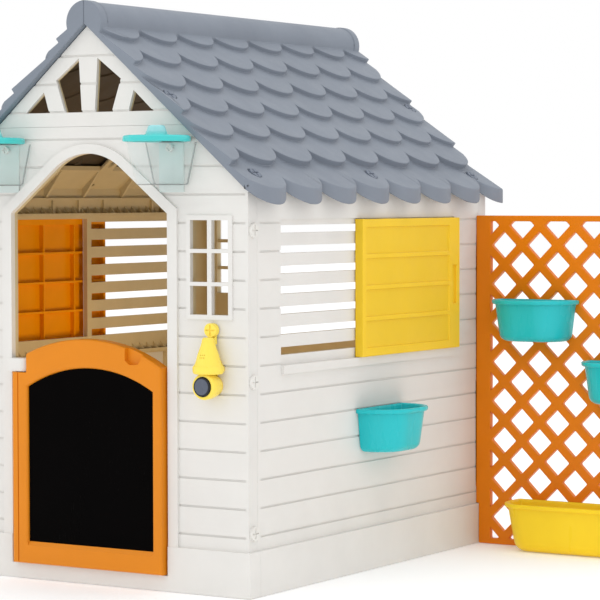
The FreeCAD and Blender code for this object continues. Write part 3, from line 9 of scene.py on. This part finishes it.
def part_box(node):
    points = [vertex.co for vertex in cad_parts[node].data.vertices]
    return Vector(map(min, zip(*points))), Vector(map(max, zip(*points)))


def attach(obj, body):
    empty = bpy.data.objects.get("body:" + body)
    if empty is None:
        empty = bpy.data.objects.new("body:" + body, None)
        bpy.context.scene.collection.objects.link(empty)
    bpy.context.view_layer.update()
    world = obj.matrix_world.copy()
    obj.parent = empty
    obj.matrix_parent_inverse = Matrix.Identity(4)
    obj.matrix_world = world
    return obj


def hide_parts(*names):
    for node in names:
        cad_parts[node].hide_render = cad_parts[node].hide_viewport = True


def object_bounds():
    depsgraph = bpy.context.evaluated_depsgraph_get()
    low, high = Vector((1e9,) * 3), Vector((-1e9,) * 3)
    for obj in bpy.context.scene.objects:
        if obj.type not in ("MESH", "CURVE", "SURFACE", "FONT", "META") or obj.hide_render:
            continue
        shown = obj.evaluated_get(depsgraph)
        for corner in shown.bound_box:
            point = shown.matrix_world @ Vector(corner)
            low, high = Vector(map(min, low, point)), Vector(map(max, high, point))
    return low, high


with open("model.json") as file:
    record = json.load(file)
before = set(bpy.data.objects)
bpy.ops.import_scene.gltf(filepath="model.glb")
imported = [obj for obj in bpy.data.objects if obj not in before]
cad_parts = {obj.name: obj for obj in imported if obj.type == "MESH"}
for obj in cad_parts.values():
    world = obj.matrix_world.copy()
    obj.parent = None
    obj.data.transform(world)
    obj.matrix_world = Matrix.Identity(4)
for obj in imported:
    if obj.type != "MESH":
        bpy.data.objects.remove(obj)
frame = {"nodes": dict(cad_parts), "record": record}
NODES = frame["nodes"]
cad_low, cad_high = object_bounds()

# Every length is in metres, in the CAD's frame.
ROOF_RISE, ROOF_HALF_SPAN = 0.386, 0.445
ROOF_ANGLE = math.atan(ROOF_RISE / ROOF_HALF_SPAN)
ROOF_UNDERSIDE = 1.316
ROOF_SKIN = 0.006
ROOM_HALF_WIDTH, ROOM_FRONT, ROOM_REAR = 0.430, 0.012, 1.138
END_WALL_SKIN, SIDE_WALL_SKIN = 0.0085, 0.0165
SHUTTER_SKIN = 0.0062
KNOB_BASE_DEPTH, KNOB_TOP_DEPTH = 0.022, 0.012
BUTTON_FACE, BUTTON_RIM = 0.0178, 0.0186


# ---------------------------------------------------------------- shader nodes
def add(tree, kind, inputs=None, **settings):
    """A shader node with its settings and input values."""
    node = tree.nodes.new(kind)
    for name, value in settings.items():
        setattr(node, name, value)
    for name, value in (inputs or {}).items():
        if isinstance(value, bpy.types.NodeSocket):
            tree.links.new(value, node.inputs[name])
        else:
            node.inputs[name].default_value = value
    return node


def maths(tree, operation, first, second=0.0):
    """The result of one operation on two values."""
    return add(tree, "ShaderNodeMath", {0: first, 1: second}, operation=operation).outputs[0]


def noise(tree, coordinates, scale, detail=3.0, roughness=0.55):
    """A noise pattern over the object, from 0 to 1."""
    inputs = {"Vector": coordinates, "Scale": scale, "Detail": detail, "Roughness": roughness}
    return add(tree, "ShaderNodeTexNoise", inputs).outputs["Fac"]


def spread(tree, value, low, high, out_low=0, out_high=1):
    """Maps the range low to high on to out_low to out_high, and no further."""
    inputs = {"Value": value, "From Min": low, "From Max": high,
              "To Min": out_low, "To Max": out_high}
    return add(tree, "ShaderNodeMapRange", inputs).outputs["Result"]


def blend(tree, factor, first, second):
    """Mixes two colours."""
    mix = add(tree, "ShaderNodeMix", data_type="RGBA")
    tree.links.new(factor, mix.inputs["Factor"])
    for socket, colour in ((mix.inputs[6], first), (mix.inputs[7], second)):
        if isinstance(colour, bpy.types.NodeSocket):
            tree.links.new(colour, socket)
        else:
            socket.default_value = (*colour, 1)
    return mix.outputs[2]


def shade(colour, factor):
    """A colour made darker or lighter."""
    return tuple(min(1.0, channel * factor) for channel in colour)


def srgb(*channels):
    """Red, green and blue of 0 to 255 as linear light."""
    return tuple((c / 255 / 12.92) if c <= 10 else ((c / 255 + 0.055) / 1.055) ** 2.4
                 for c in channels)


def stretched(tree, coordinates, scale):
    """Coordinates stretched along the axes, for streaks."""
    mapping = add(tree, "ShaderNodeMapping", {"Vector": coordinates})
    mapping.inputs["Scale"].default_value = scale
    return mapping.outputs["Vector"]


def parts_of(tree, place):
    """The X, Y and Z outputs of a place on the object."""
    return add(tree, "ShaderNodeSeparateXYZ", {"Vector": place}).outputs


# ---------------------------------------------------------------- masks
# Each is 1 on the faces that it names and 0 elsewhere, and marks where a painted shade or a painted
# highlight goes.
def inside_house(tree, place):
    """The faces within the four walls, which get a cream painted shade for the dim room."""
    parts = parts_of(tree, place)
    inside = 1.0
    for axis, start, stop, skin in (
            ("X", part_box("left_wall")[0].x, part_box("right_wall")[1].x, SIDE_WALL_SKIN),
            ("Y", 0.0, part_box("rear_wall")[1].y, END_WALL_SKIN)):
        after = maths(tree, "GREATER_THAN", parts[axis], start + skin)
        before = maths(tree, "LESS_THAN", parts[axis], stop - skin)
        inside = maths(tree, "MULTIPLY", inside, maths(tree, "MULTIPLY", after, before))
    return inside


def under_roof(tree, place):
    """The underside of the roof over the room, which gets a dark brown painted shade."""
    fade = 0.002
    parts = parts_of(tree, place)
    aside = maths(tree, "ABSOLUTE", parts["X"])
    fall = maths(tree, "MULTIPLY", aside, math.sin(ROOF_ANGLE))
    rise = maths(tree, "MULTIPLY", parts["Z"], math.cos(ROOF_ANGLE))
    height = maths(tree, "ADD", fall, rise)
    skin = ROOF_UNDERSIDE * math.cos(ROOF_ANGLE) + ROOF_SKIN
    mask = spread(tree, height, skin + fade / 4, skin)
    for part, outer, inner in ((parts["Y"], ROOM_FRONT - fade, ROOM_FRONT),
                               (parts["Y"], ROOM_REAR + fade, ROOM_REAR),
                               (aside, ROOM_HALF_WIDTH + fade, ROOM_HALF_WIDTH)):
        mask = maths(tree, "MULTIPLY", mask, spread(tree, part, outer, inner))
    return mask


def behind_left_shutter(tree, place):
    """The ribbed side of the left shutter, behind its outer face, which faces the dim room and gets
    an orange painted shade.
    """
    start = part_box("shutter_left")[0].x + SHUTTER_SKIN
    return spread(tree, parts_of(tree, place)["X"], start, start + 0.0005)


def on_knob(tree, place):
    """The knob on top of a lantern's cap, painted a lighter teal as a painted highlight where light
    catches and shines through it.
    """
    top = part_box("lantern_cap_right")[1].z
    return spread(tree, parts_of(tree, place)["Z"], top - KNOB_BASE_DEPTH, top - KNOB_TOP_DEPTH)


def button_rim(tree, place):
    """The ring round the face of the bell's button, painted dark as the shadow in the gap round the
    button.
    """
    low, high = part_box("bell_button")
    middle = (low + high) / 2
    flat = add(tree, "ShaderNodeVectorMath", {0: place, 1: (1, 0, 1)}, operation="MULTIPLY")
    away = add(tree, "ShaderNodeVectorMath", {0: flat.outputs[0], 1: (middle.x, 0, middle.z)},
               operation="DISTANCE")
    return spread(tree, away.outputs["Value"], BUTTON_FACE, BUTTON_RIM)


def shade_edge(tree, place):
    """The cut edges of a lantern shade, at the wall and at its foot, where the plastic is seen
    edge-on and its dark colour is painted shade.
    """
    parts = parts_of(tree, place)
    low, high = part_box("lantern_shade_right")
    foot = spread(tree, parts["Z"], low.z + 0.0030, low.z + 0.0022)
    wall = spread(tree, parts["Y"], high.y - 0.0032, high.y - 0.0026)
    return maths(tree, "MAXIMUM", foot, wall)


# ---------------------------------------------------------------- materials
MIDDLE = (0.3, 0.7)     # most of a noise pattern's values lie in this range
CLOUDS, SMEARS, SPECKS, GRAIN = 7, 16, 420, 1500    # noise scales, from large marks to fine grain
GRAIN_DEPTH, WAVE_DEPTH = 0.0004, 0.004
CREST, HOLLOW = (0.52, 0.62), (0.48, 0.40)          # ranges of pointiness


def new_material(name):
    """A material, with its node tree, its shader and the coordinates on the object."""
    material = bpy.data.materials.new(name)
    material.use_nodes = True
    tree = material.node_tree
    place = add(tree, "ShaderNodeTexCoord").outputs["Object"]
    return material, tree, tree.nodes["Principled BSDF"], place


def moulded(name, colour, roughness=0.42, mottle=0.035, grain=0.25, wave=0.15, edge_lightening=0.35,
            coat=0.0, inner=None, where=inside_house, gloss=0.22):
    """Moulded plastic: fine spark-eroded grain, soft flow marks, sharp outer edges made lighter,
    and painted shade in the hollows.

    inner is the colour of painted shade or a painted highlight on the faces that the mask where
    picks out, such as the painted shade inside the house.
    """
    material, tree, shader, place = new_material(name)
    clouds = noise(tree, place, CLOUDS, 5, 0.6)
    cloudy = spread(tree, clouds, *MIDDLE)
    body = blend(tree, cloudy, shade(colour, 1 - mottle), shade(colour, 1 + mottle))
    specks = noise(tree, place, SPECKS, 2)
    body = blend(tree, spread(tree, specks, 0.62, 0.8, 0, 0.25), body, shade(colour, 0.9))
    point = add(tree, "ShaderNodeNewGeometry").outputs["Pointiness"]
    # Sharp outer edges made lighter.
    body = blend(tree, spread(tree, point, *CREST, 0, edge_lightening), body, shade(colour, 1.08))
    # Painted shade: the hollows are darkened where shade falls.
    body = blend(tree, spread(tree, point, *HOLLOW, 0, 0.3), body, shade(colour, 0.82))
    # The second colour is painted shade or a painted highlight.
    if inner:
        painted_light = blend(tree, cloudy, shade(inner, 0.94), shade(inner, 1.06))
        body = blend(tree, where(tree, place), body, painted_light)
    tree.links.new(body, shader.inputs["Base Color"])
    smears = noise(tree, stretched(tree, place, (1, 1, 0.25)), SMEARS, 4)
    rough = spread(tree, smears, *MIDDLE, roughness - 0.07, roughness + 0.09)
    tree.links.new(rough, shader.inputs["Roughness"])
    fine = add(tree, "ShaderNodeBump", {"Height": noise(tree, place, GRAIN, 2),
                                        "Strength": grain, "Distance": GRAIN_DEPTH})
    flow = add(tree, "ShaderNodeBump", {"Height": clouds, "Normal": fine.outputs["Normal"],
                                        "Strength": wave, "Distance": WAVE_DEPTH})
    tree.links.new(flow.outputs["Normal"], shader.inputs["Normal"])
    shader.inputs["Specular IOR Level"].default_value = gloss
    shader.inputs["Coat Weight"].default_value = coat
    shader.inputs["Coat Roughness"].default_value = 0.15
    return material


def clear_plastic(name, colour, roughness, veil, edge, edge_veil=0.5):
    """Thin clear plastic with slight flow marks; veil is how much of it shows, more at an edge,
    where the plastic is seen edge-on and is darkened by painted shade.
    """
    material, tree, shader, place = new_material(name)
    clouds = noise(tree, place, 30, 3)
    tint = blend(tree, spread(tree, clouds, *MIDDLE), colour, shade(colour, 0.96))
    shown = edge(tree, place)
    # Painted shade: the cut edges are darkened.
    tree.links.new(blend(tree, shown, tint, shade(colour, 0.35)), shader.inputs["Base Color"])
    tree.links.new(spread(tree, shown, 0, 1, veil, edge_veil), shader.inputs["Alpha"])
    rough = spread(tree, noise(tree, place, 90, 3), *MIDDLE, roughness, roughness + 0.08)
    tree.links.new(rough, shader.inputs["Roughness"])
    bump = add(tree, "ShaderNodeBump", {"Height": clouds, "Strength": 0.2, "Distance": 0.001})
    tree.links.new(bump.outputs["Normal"], shader.inputs["Normal"])
    shader.inputs["IOR"].default_value = 1.4
    return material


def plated(name, colour):
    """Plated steel with fine marks."""
    material = moulded(name, colour, roughness=0.3, mottle=0.05, grain=0.1, wave=0.1)
    material.node_tree.nodes["Principled BSDF"].inputs["Metallic"].default_value = 1
    return material


SHUTTER_COLOUR = srgb(243, 203, 48)
CLEAR = clear_plastic("clear_shade_plastic", (0.80, 0.88, 0.87), 0.08, 0.08, shade_edge)
TEAL = moulded("teal_plastic", srgb(40, 194, 200), 0.25, coat=0.1)
YELLOW = moulded("yellow_plastic", srgb(254, 214, 38), 0.34, coat=0.05)
# The cap's knob gets a lighter teal painted highlight.
CAP_TEAL = moulded("cap_teal_plastic", srgb(72, 203, 201), 0.22, coat=0.2,
                   inner=srgb(160, 222, 226), where=on_knob)
SLOT_MATERIALS = {
    # The wall plastic's faces inside the house get a beige painted shade.
    "white_plastic": moulded("wall_plastic", srgb(223, 221, 217), 0.45, inner=(0.60, 0.50, 0.30)),
    # The roof's underside over the room gets a dark brown painted shade.
    "roof_plastic": moulded("roof_plastic", srgb(130, 137, 148), 0.5, mottle=0.05,
                            inner=srgb(72, 62, 48), where=under_roof),
    "white_screw": moulded("white_screw_plastic", srgb(226, 224, 219), 0.35),
    "grey_screw": moulded("grey_screw_plastic", srgb(112, 120, 134), 0.4),
    "orange_plastic": moulded("trellis_orange_plastic", srgb(228, 126, 8), 0.36),
    "teal_plastic": TEAL,
    "yellow_plastic": YELLOW,
    "clear_plastic": CLEAR,
    "chalkboard_black": moulded("chalkboard_panel", srgb(3, 2, 2), 0.3, mottle=0.2, grain=0.1,
                                wave=0.1, edge_lightening=0.05, gloss=0.02),
    # The ring round the button's face gets a painted shadow.
    "button_grey": moulded("button_plastic", srgb(92, 98, 112), 0.3, inner=srgb(38, 40, 46),
                           where=button_rim),
    "black_plastic": moulded("dark_plastic", srgb(30, 30, 32), 0.6),
    "circuit_board": moulded("circuit_board_green", srgb(35, 110, 70), 0.4),
    "steel": plated("plated_steel", (0.62, 0.62, 0.6)),
}
BELL_YELLOW = moulded("bell_yellow_plastic", srgb(255, 226, 92), 0.25, coat=0.1)
PLATE = moulded("clear_plate_plastic", srgb(212, 222, 219), 0.25)
OWN_MATERIALS = {
    "door_leaf": moulded("door_orange_plastic", srgb(222, 133, 22), 0.34),
    "shutter_right": moulded("shutter_plastic", SHUTTER_COLOUR, 0.4, wave=0.05),
    # The left shutter's ribbed inner side gets an orange painted shade: its yellow as seen in the
    # dim room.
    "shutter_left": moulded("left_shutter_painted_shade_plastic", SHUTTER_COLOUR, 0.4, wave=0.05,
                            inner=(0.86, 0.33, 0.0), where=behind_left_shutter, gloss=0.04),
    "bell_housing": BELL_YELLOW, "bell_screw": BELL_YELLOW,
    "lantern_plate_right": PLATE, "lantern_plate_left": PLATE,
}


# ---------------------------------------------------------------- the CAD nodes
SMALL_EDGE = 0.0008
EDGE = {
    "front_wall": 0.0012, "rear_wall": 0.0012, "right_wall": 0.0012, "left_wall": 0.0012,
    "roof_panel_right": 0.0025, "roof_panel_left": 0.0025,
    "shutter_right": 0.0015, "shutter_left": 0.0015,
    "trellis": 0.0025, "bell_housing": 0.002, "bell_button": 0.0015,
}
# These keep their full rounding: their flat faces stay in triangles, which a wide bevel can't
# fold over.
ROUNDED = ("roof_panel_right", "roof_panel_left", "shutter_right", "shutter_left", "trellis")


def soften(name):
    """Rounds the edges of a CAD node and smooths its shading."""
    obj = NODES[name]
    weld = obj.modifiers.new("weld", "WELD")
    weld.merge_threshold = 0.00002
    if name not in ROUNDED:
        flat = obj.modifiers.new("flat_faces", "DECIMATE")
        flat.decimate_type = "DISSOLVE"
        flat.angle_limit = math.radians(0.3)
    edges = obj.modifiers.new("round_edges", "BEVEL")
    edges.width = EDGE.get(name, SMALL_EDGE)
    edges.segments = 2
    edges.limit_method = "ANGLE"
    edges.angle_limit = math.radians(28)
    edges.use_clamp_overlap = name not in ROUNDED
    normals = obj.modifiers.new("normals", "WEIGHTED_NORMAL")
    normals.keep_sharp = True
    for polygon in obj.data.polygons:
        polygon.use_smooth = True


for entry in frame["record"]["subparts"]:
    node = entry["node"]
    for slot in NODES[node].material_slots:
        slot.material = OWN_MATERIALS.get(node, SLOT_MATERIALS[entry["material_slot"]])
    soften(node)


# ---------------------------------------------------------------- lofted pieces
MERGE = 1e-6
HOOK_ROUNDING = 0.0012


def add_block(grid, low, high):
    """Adds a small block with rounded edges to a mesh that is being built."""
    place = Matrix.Translation((high + low) / 2) @ Matrix.Diagonal((*(high - low), 1))
    corners = bmesh.ops.create_cube(grid, size=1, matrix=place)["verts"]
    edges = list({edge for corner in corners for edge in corner.link_edges})
    bmesh.ops.bevel(grid, geom=edges, offset=HOOK_ROUNDING, segments=3, affect="EDGES",
                    profile=0.5)


def loft(name, rings, material, blocks=(), capped=True):
    """A skin through rings of points, with small blocks such as hooks in the same moulding.

    The last ring is closed by a face, and so is the first if capped.
    """
    grid = bmesh.new()
    rows = [[grid.verts.new(point) for point in ring] for ring in rings]
    for lower, upper in zip(rows, rows[1:]):
        for index, corner in enumerate(lower):
            after = (index + 1) % len(lower)
            grid.faces.new((corner, lower[after], upper[after], upper[index]))
    if capped:
        grid.faces.new(rows[0])
    grid.faces.new(rows[-1])
    for low, high in blocks:
        add_block(grid, low, high)
    bmesh.ops.remove_doubles(grid, verts=grid.verts, dist=MERGE)
    bmesh.ops.dissolve_degenerate(grid, edges=grid.edges, dist=MERGE)
    bmesh.ops.recalc_face_normals(grid, faces=grid.faces)
    mesh = bpy.data.meshes.new(name)
    grid.to_mesh(mesh)
    grid.free()
    mesh.materials.append(material)
    for polygon in mesh.polygons:
        polygon.use_smooth = True
    mesh.set_sharp_from_angle(angle=math.radians(40))
    piece = bpy.data.objects.new(name, mesh)
    bpy.context.scene.collection.objects.link(piece)
    return piece


def stand_for(piece, node, body):
    """The piece rides on a body in place of a CAD node."""
    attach(piece, body)
    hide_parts(node)


def quarter():
    """The angles of a rounded foot's rings."""
    return [math.radians(turn) for turn in range(0, 91, 15)]


# ---------------------------------------------------------------- planters and trough
RIM = 0.008             # how far the rolled rim stands out from the wall
RIM_DROP = 0.011        # from the rim's top to the top of the wall
# The rim's cross-section in mm: out from the wall, and up from the rim's top.
RIM_CURVE = [(0.0, -11.0), (1.2, -11.4), (3.5, -11.6), (6.0, -11.2), (7.5, -9.6), (8.0, -7.0),
             (7.9, -4.2), (7.0, -1.8), (5.2, -0.4), (3.0, 0.0), (0.8, -0.3), (-1.2, -1.3),
             (-2.5, -3.2), (-3.0, -6.0)]
TUB_WALL = 0.003
BACK_CORNER = 0.0025
SMALLEST_CORNER = 0.004
BACK_FOOT = 0.004
HOOK_SPREAD, HOOK_HALF_WIDTH, HOOK_TOP, HOOK_TIP = 0.051, 0.005, 0.005, -0.009


def tub_outline(half, deep, corner, back, height):
    """A flat-backed outline with rounded front corners; y runs outwards from the flat."""
    rear_x, rear_y = half - BACK_CORNER, back + BACK_CORNER
    front_x, front_y = half - corner, deep - corner
    points = []
    for x, y, radius, start, steps in (
            (-rear_x, rear_y, BACK_CORNER, 180, 4), (rear_x, rear_y, BACK_CORNER, 270, 4),
            (front_x, front_y, corner, 0, 18), (-front_x, front_y, corner, 90, 18)):
        for step in range(steps + 1):
            angle = math.radians(start + 90 * step / steps)
            points.append(Vector((x + radius * math.cos(angle), y + radius * math.sin(angle),
                                  height)))
    return points


def tub_rings(width, depth, height, corner, taper, foot):
    """A tub's rings, with a rolled rim and a rounded foot: rim at z = 0 and flat at y = 0."""
    half, deep = width / 2 - RIM, depth - RIM

    def ring(out, z, back):
        """An outline at a height, out from the tapering wall."""
        scale = 1 - (1 - taper) * min(1.0, -z / height)
        return tub_outline(half * scale + out, deep * scale + out,
                           max(corner * scale + out, SMALLEST_CORNER), back, z)

    def skin(inset, floor):
        """Rings from the middle of the floor round the foot and up the wall."""
        rings = [ring(-inset - foot - step, floor, inset + BACK_FOOT) for step in (0.03, 0.01)]
        for angle in quarter():
            rings.append(ring(-inset - foot * (1 - math.sin(angle)),
                              floor + foot * (1 - math.cos(angle)),
                              inset + BACK_FOOT * (1 - math.sin(angle))))
        for step in (0.25, 0.5, 0.75):
            rings.append(ring(-inset, (floor + foot) * (1 - step) - RIM_DROP * step, inset))
        return rings

    rim = [ring(out / 1000, z / 1000, max(0.0, -out / 1000)) for out, z in RIM_CURVE]
    return skin(0.0, -height) + rim + list(reversed(skin(TUB_WALL, -height + TUB_WALL)))


def hang(rings, origin, outwards):
    """Rings moved to where the middle of the flat back is, with y turned to point outwards."""
    across = Vector((0, 0, 1)).cross(outwards)
    return [[origin - across * point.x + outwards * point.y + Vector((0, 0, point.z))
             for point in ring] for ring in rings]


def hooks(origin, outwards, drop, reach):
    """The boxes of two hooks that go through the wall and down behind it."""
    blocks = []
    for side in (-HOOK_SPREAD, HOOK_SPREAD):
        for start, stop, bottom in ((0.001, -reach - 0.004, 0.0),
                                    (-reach, -reach - 0.005, HOOK_TIP)):
            corners = [Vector((side - HOOK_HALF_WIDTH, start, bottom - drop)),
                       Vector((side + HOOK_HALF_WIDTH, stop, HOOK_TOP - drop))]
            first, second = hang([corners], origin, outwards)[0]
            blocks.append((Vector(map(min, first, second)), Vector(map(max, first, second))))
    return blocks


def tub(node, slot, material, outwards, depth, height, corner, taper, foot, drop=0.0, reach=0.0):
    """A tub in place of its CAD node, on the body of the same name; reach is for its hooks."""
    low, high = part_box(node)
    middle = (low + high) / 2
    if outwards.x:
        width, origin = high.y - low.y, Vector((high.x - depth, middle.y, high.z))
    else:
        width, origin = high.x - low.x, Vector((middle.x, low.y + depth, high.z))
    blocks = hooks(origin, outwards, drop, reach) if reach else []
    rings = hang(tub_rings(width, depth, height, corner, taper, foot), origin, outwards)
    stand_for(loft(node + "_tub", rings, material, blocks), node, node)


OUT_FRONT, OUT_RIGHT = Vector((0, -1, 0)), Vector((1, 0, 0))
PLANTER = {"depth": 0.110, "height": 0.107, "corner": 0.082, "taper": 0.87, "foot": 0.018}
TROUGH = {"depth": 0.125, "height": 0.124, "corner": 0.060, "taper": 0.90, "foot": 0.024}
tub("wall_planter", "teal_plastic", TEAL, OUT_RIGHT, drop=0.066, reach=0.009, **PLANTER)
for name in ("trellis_planter_upper", "trellis_planter_lower"):
    tub(name, "teal_plastic", TEAL, OUT_FRONT, drop=0.044, reach=0.017, **PLANTER)
tub("trough_planter", "yellow_plastic", YELLOW, OUT_FRONT, **TROUGH)


# ---------------------------------------------------------------- lanterns
TURN_STEPS = 72
SHADE_BASE, SHADE_WALL, SHADE_FOOT = 0.047, 0.0025, 0.008
CAP_HEIGHT = 0.0381


def turned_rings(profile, axis, back):
    """Rings of a turned piece round a vertical axis, cut off flat at a plane behind it."""
    rings = []
    for radius, z in profile:
        angles = [math.tau * step / TURN_STEPS for step in range(TURN_STEPS)]
        rings.append([Vector((axis.x + radius * math.cos(angle),
                              min(axis.y + radius * math.sin(angle), back), z))
                      for angle in angles])
    return rings


def cup_rings(outer, inner, axis, back):
    """Rings of an open-backed cup: out along its outer skin and back along its inner skin."""
    def skin(radius, z):
        """Half a turn in front of the axis, with straight sides back to the wall."""
        angles = [math.tau * step / TURN_STEPS for step in range(TURN_STEPS // 2 + 1)]
        bow = [(radius * math.cos(angle), axis.y - radius * math.sin(angle)) for angle in angles]
        points = [(radius, back)] + bow + [(-radius, back)]
        return [Vector((axis.x + x, y, z)) for x, y in points]
    return [skin(*first) + list(reversed(skin(*second))) for first, second in zip(outer, inner)]


def lantern_shade(side):
    """The clear shade of a lantern, in place of its CAD node."""
    node = f"lantern_shade_{side}"
    low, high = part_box(node)
    top_radius = (high.x - low.x) / 2
    axis = Vector(((low.x + high.x) / 2, low.y + top_radius, 0))
    lean = (top_radius - SHADE_BASE) / (high.z - low.z)

    def skin(inset, floor):
        """Radius and height from the middle of the floor round the foot to the open top."""
        radius = SHADE_BASE - inset + lean * SHADE_FOOT
        profile = [(0, floor), (radius - SHADE_FOOT - 0.004, floor)]
        for angle in quarter():
            profile.append((radius - SHADE_FOOT * (1 - math.sin(angle)),
                            floor + SHADE_FOOT * (1 - math.cos(angle))))
        profile.append((top_radius - inset, high.z))
        return profile

    rings = cup_rings(skin(0, low.z), skin(SHADE_WALL, low.z + SHADE_WALL), axis, high.y)
    stand_for(loft(f"{node}_turned", rings, CLEAR, capped=False), node, "house")


def lantern_cap(side):
    """The teal cap and knob of a lantern, in place of its CAD node."""
    node = f"lantern_cap_{side}"
    low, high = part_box(node)
    radius = (high.x - low.x) / 2
    axis = Vector(((low.x + high.x) / 2, low.y + radius, 0))
    profile = [(0.010, 0.0025), (radius - 0.0095, 0.0025), (radius - 0.008, 0),
               (radius - 0.003, 0), (radius - 0.0008, 0.0008), (radius, 0.003), (radius, 0.0085),
               (radius - 0.0009, 0.0118), (radius - 0.0035, 0.0142), (radius - 0.007, 0.015),
               (0.032, 0.0156), (0.0275, 0.0166), (0.0252, 0.0188), (0.0242, 0.0225),
               (0.0198, 0.0335), (0.0188, 0.0358), (0.0165, 0.0375), (0.013, 0.038),
               (0.004, CAP_HEIGHT)]
    scale = (high.z - low.z) / CAP_HEIGHT
    rings = turned_rings([(out, low.z + z * scale) for out, z in profile], axis, high.y)
    stand_for(loft(f"{node}_turned", rings, CAP_TEAL), node, "house")


for side in ("right", "left"):
    lantern_shade(side)
    lantern_cap(side)


# ---------------------------------------------------------------- floor, light, camera
FLOOR_REACH = 30
FLOOR_GAP = 0.001
WHITE = (1, 1, 1)
WARM = (1, 0.72, 0.4)


def floor():
    """A plain pale floor, not part of the object."""
    mesh = bpy.data.meshes.new("floor")
    corners = [(x * FLOOR_REACH, y * FLOOR_REACH, 0)
               for x, y in ((-1, -1), (1, -1), (1, 1), (-1, 1))]
    mesh.from_pydata(corners, [], [(0, 1, 2, 3)])
    plane = bpy.data.objects.new("floor", mesh)
    bpy.context.scene.collection.objects.link(plane)
    plane.location.z = cad_low.z - FLOOR_GAP
    material = bpy.data.materials.new("pale_floor")
    material.use_nodes = True
    shader = material.node_tree.nodes["Principled BSDF"]
    shader.inputs["Base Color"].default_value = (0.95, 0.95, 0.95, 1)
    shader.inputs["Emission Color"].default_value = (*WHITE, 1)
    shader.inputs["Emission Strength"].default_value = 0.14
    shader.inputs["Roughness"].default_value = 0.9
    mesh.materials.append(material)


def area_light(name, place, aim, side, power, colour=WHITE):
    """A soft square light that faces a point."""
    data = bpy.data.lights.new(name, "AREA")
    data.color = colour
    data.energy = power
    data.size = side
    light = bpy.data.objects.new(name, data)
    bpy.context.scene.collection.objects.link(light)
    light.visible_camera = False
    light.location = place
    light.rotation_euler = (Vector(aim) - Vector(place)).to_track_quat("-Z", "Y").to_euler()


def studio():
    """White surroundings, soft lights outside, and a warm one on the left shutter's inner side."""
    world = bpy.data.worlds.new("studio")
    world.use_nodes = True
    background = world.node_tree.nodes["Background"]
    background.inputs["Color"].default_value = (*WHITE, 1)
    background.inputs["Strength"].default_value = 1.0
    bpy.context.scene.world = world
    area_light("key", (-1.5, -4.5, 3.5), (0, 0.4, 0.6), side=3, power=12)
    area_light("top", (0.5, 0, 5), (0.3, 0.5, 0), side=5, power=45)
    area_light("inside", (0.25, 0.45, 0.3), (-0.45, 0.62, 0.75), side=0.3, power=2.6, colour=WARM)


def camera():
    """The camera, at the height of the windows and in front of the right corner."""
    data = bpy.data.cameras.new("camera")
    data.lens = 152.35
    data.sensor_width = 36
    view = bpy.data.objects.new("camera", data)
    view.location = (3.561, -4.805, 0.911)
    view.rotation_euler = Euler((math.radians(87.67), 0.0018, math.radians(31.79)))
    bpy.context.scene.collection.objects.link(view)
    bpy.context.scene.camera = view


floor()
studio()
camera()
bpy.context.scene.view_settings.view_transform = "Standard"
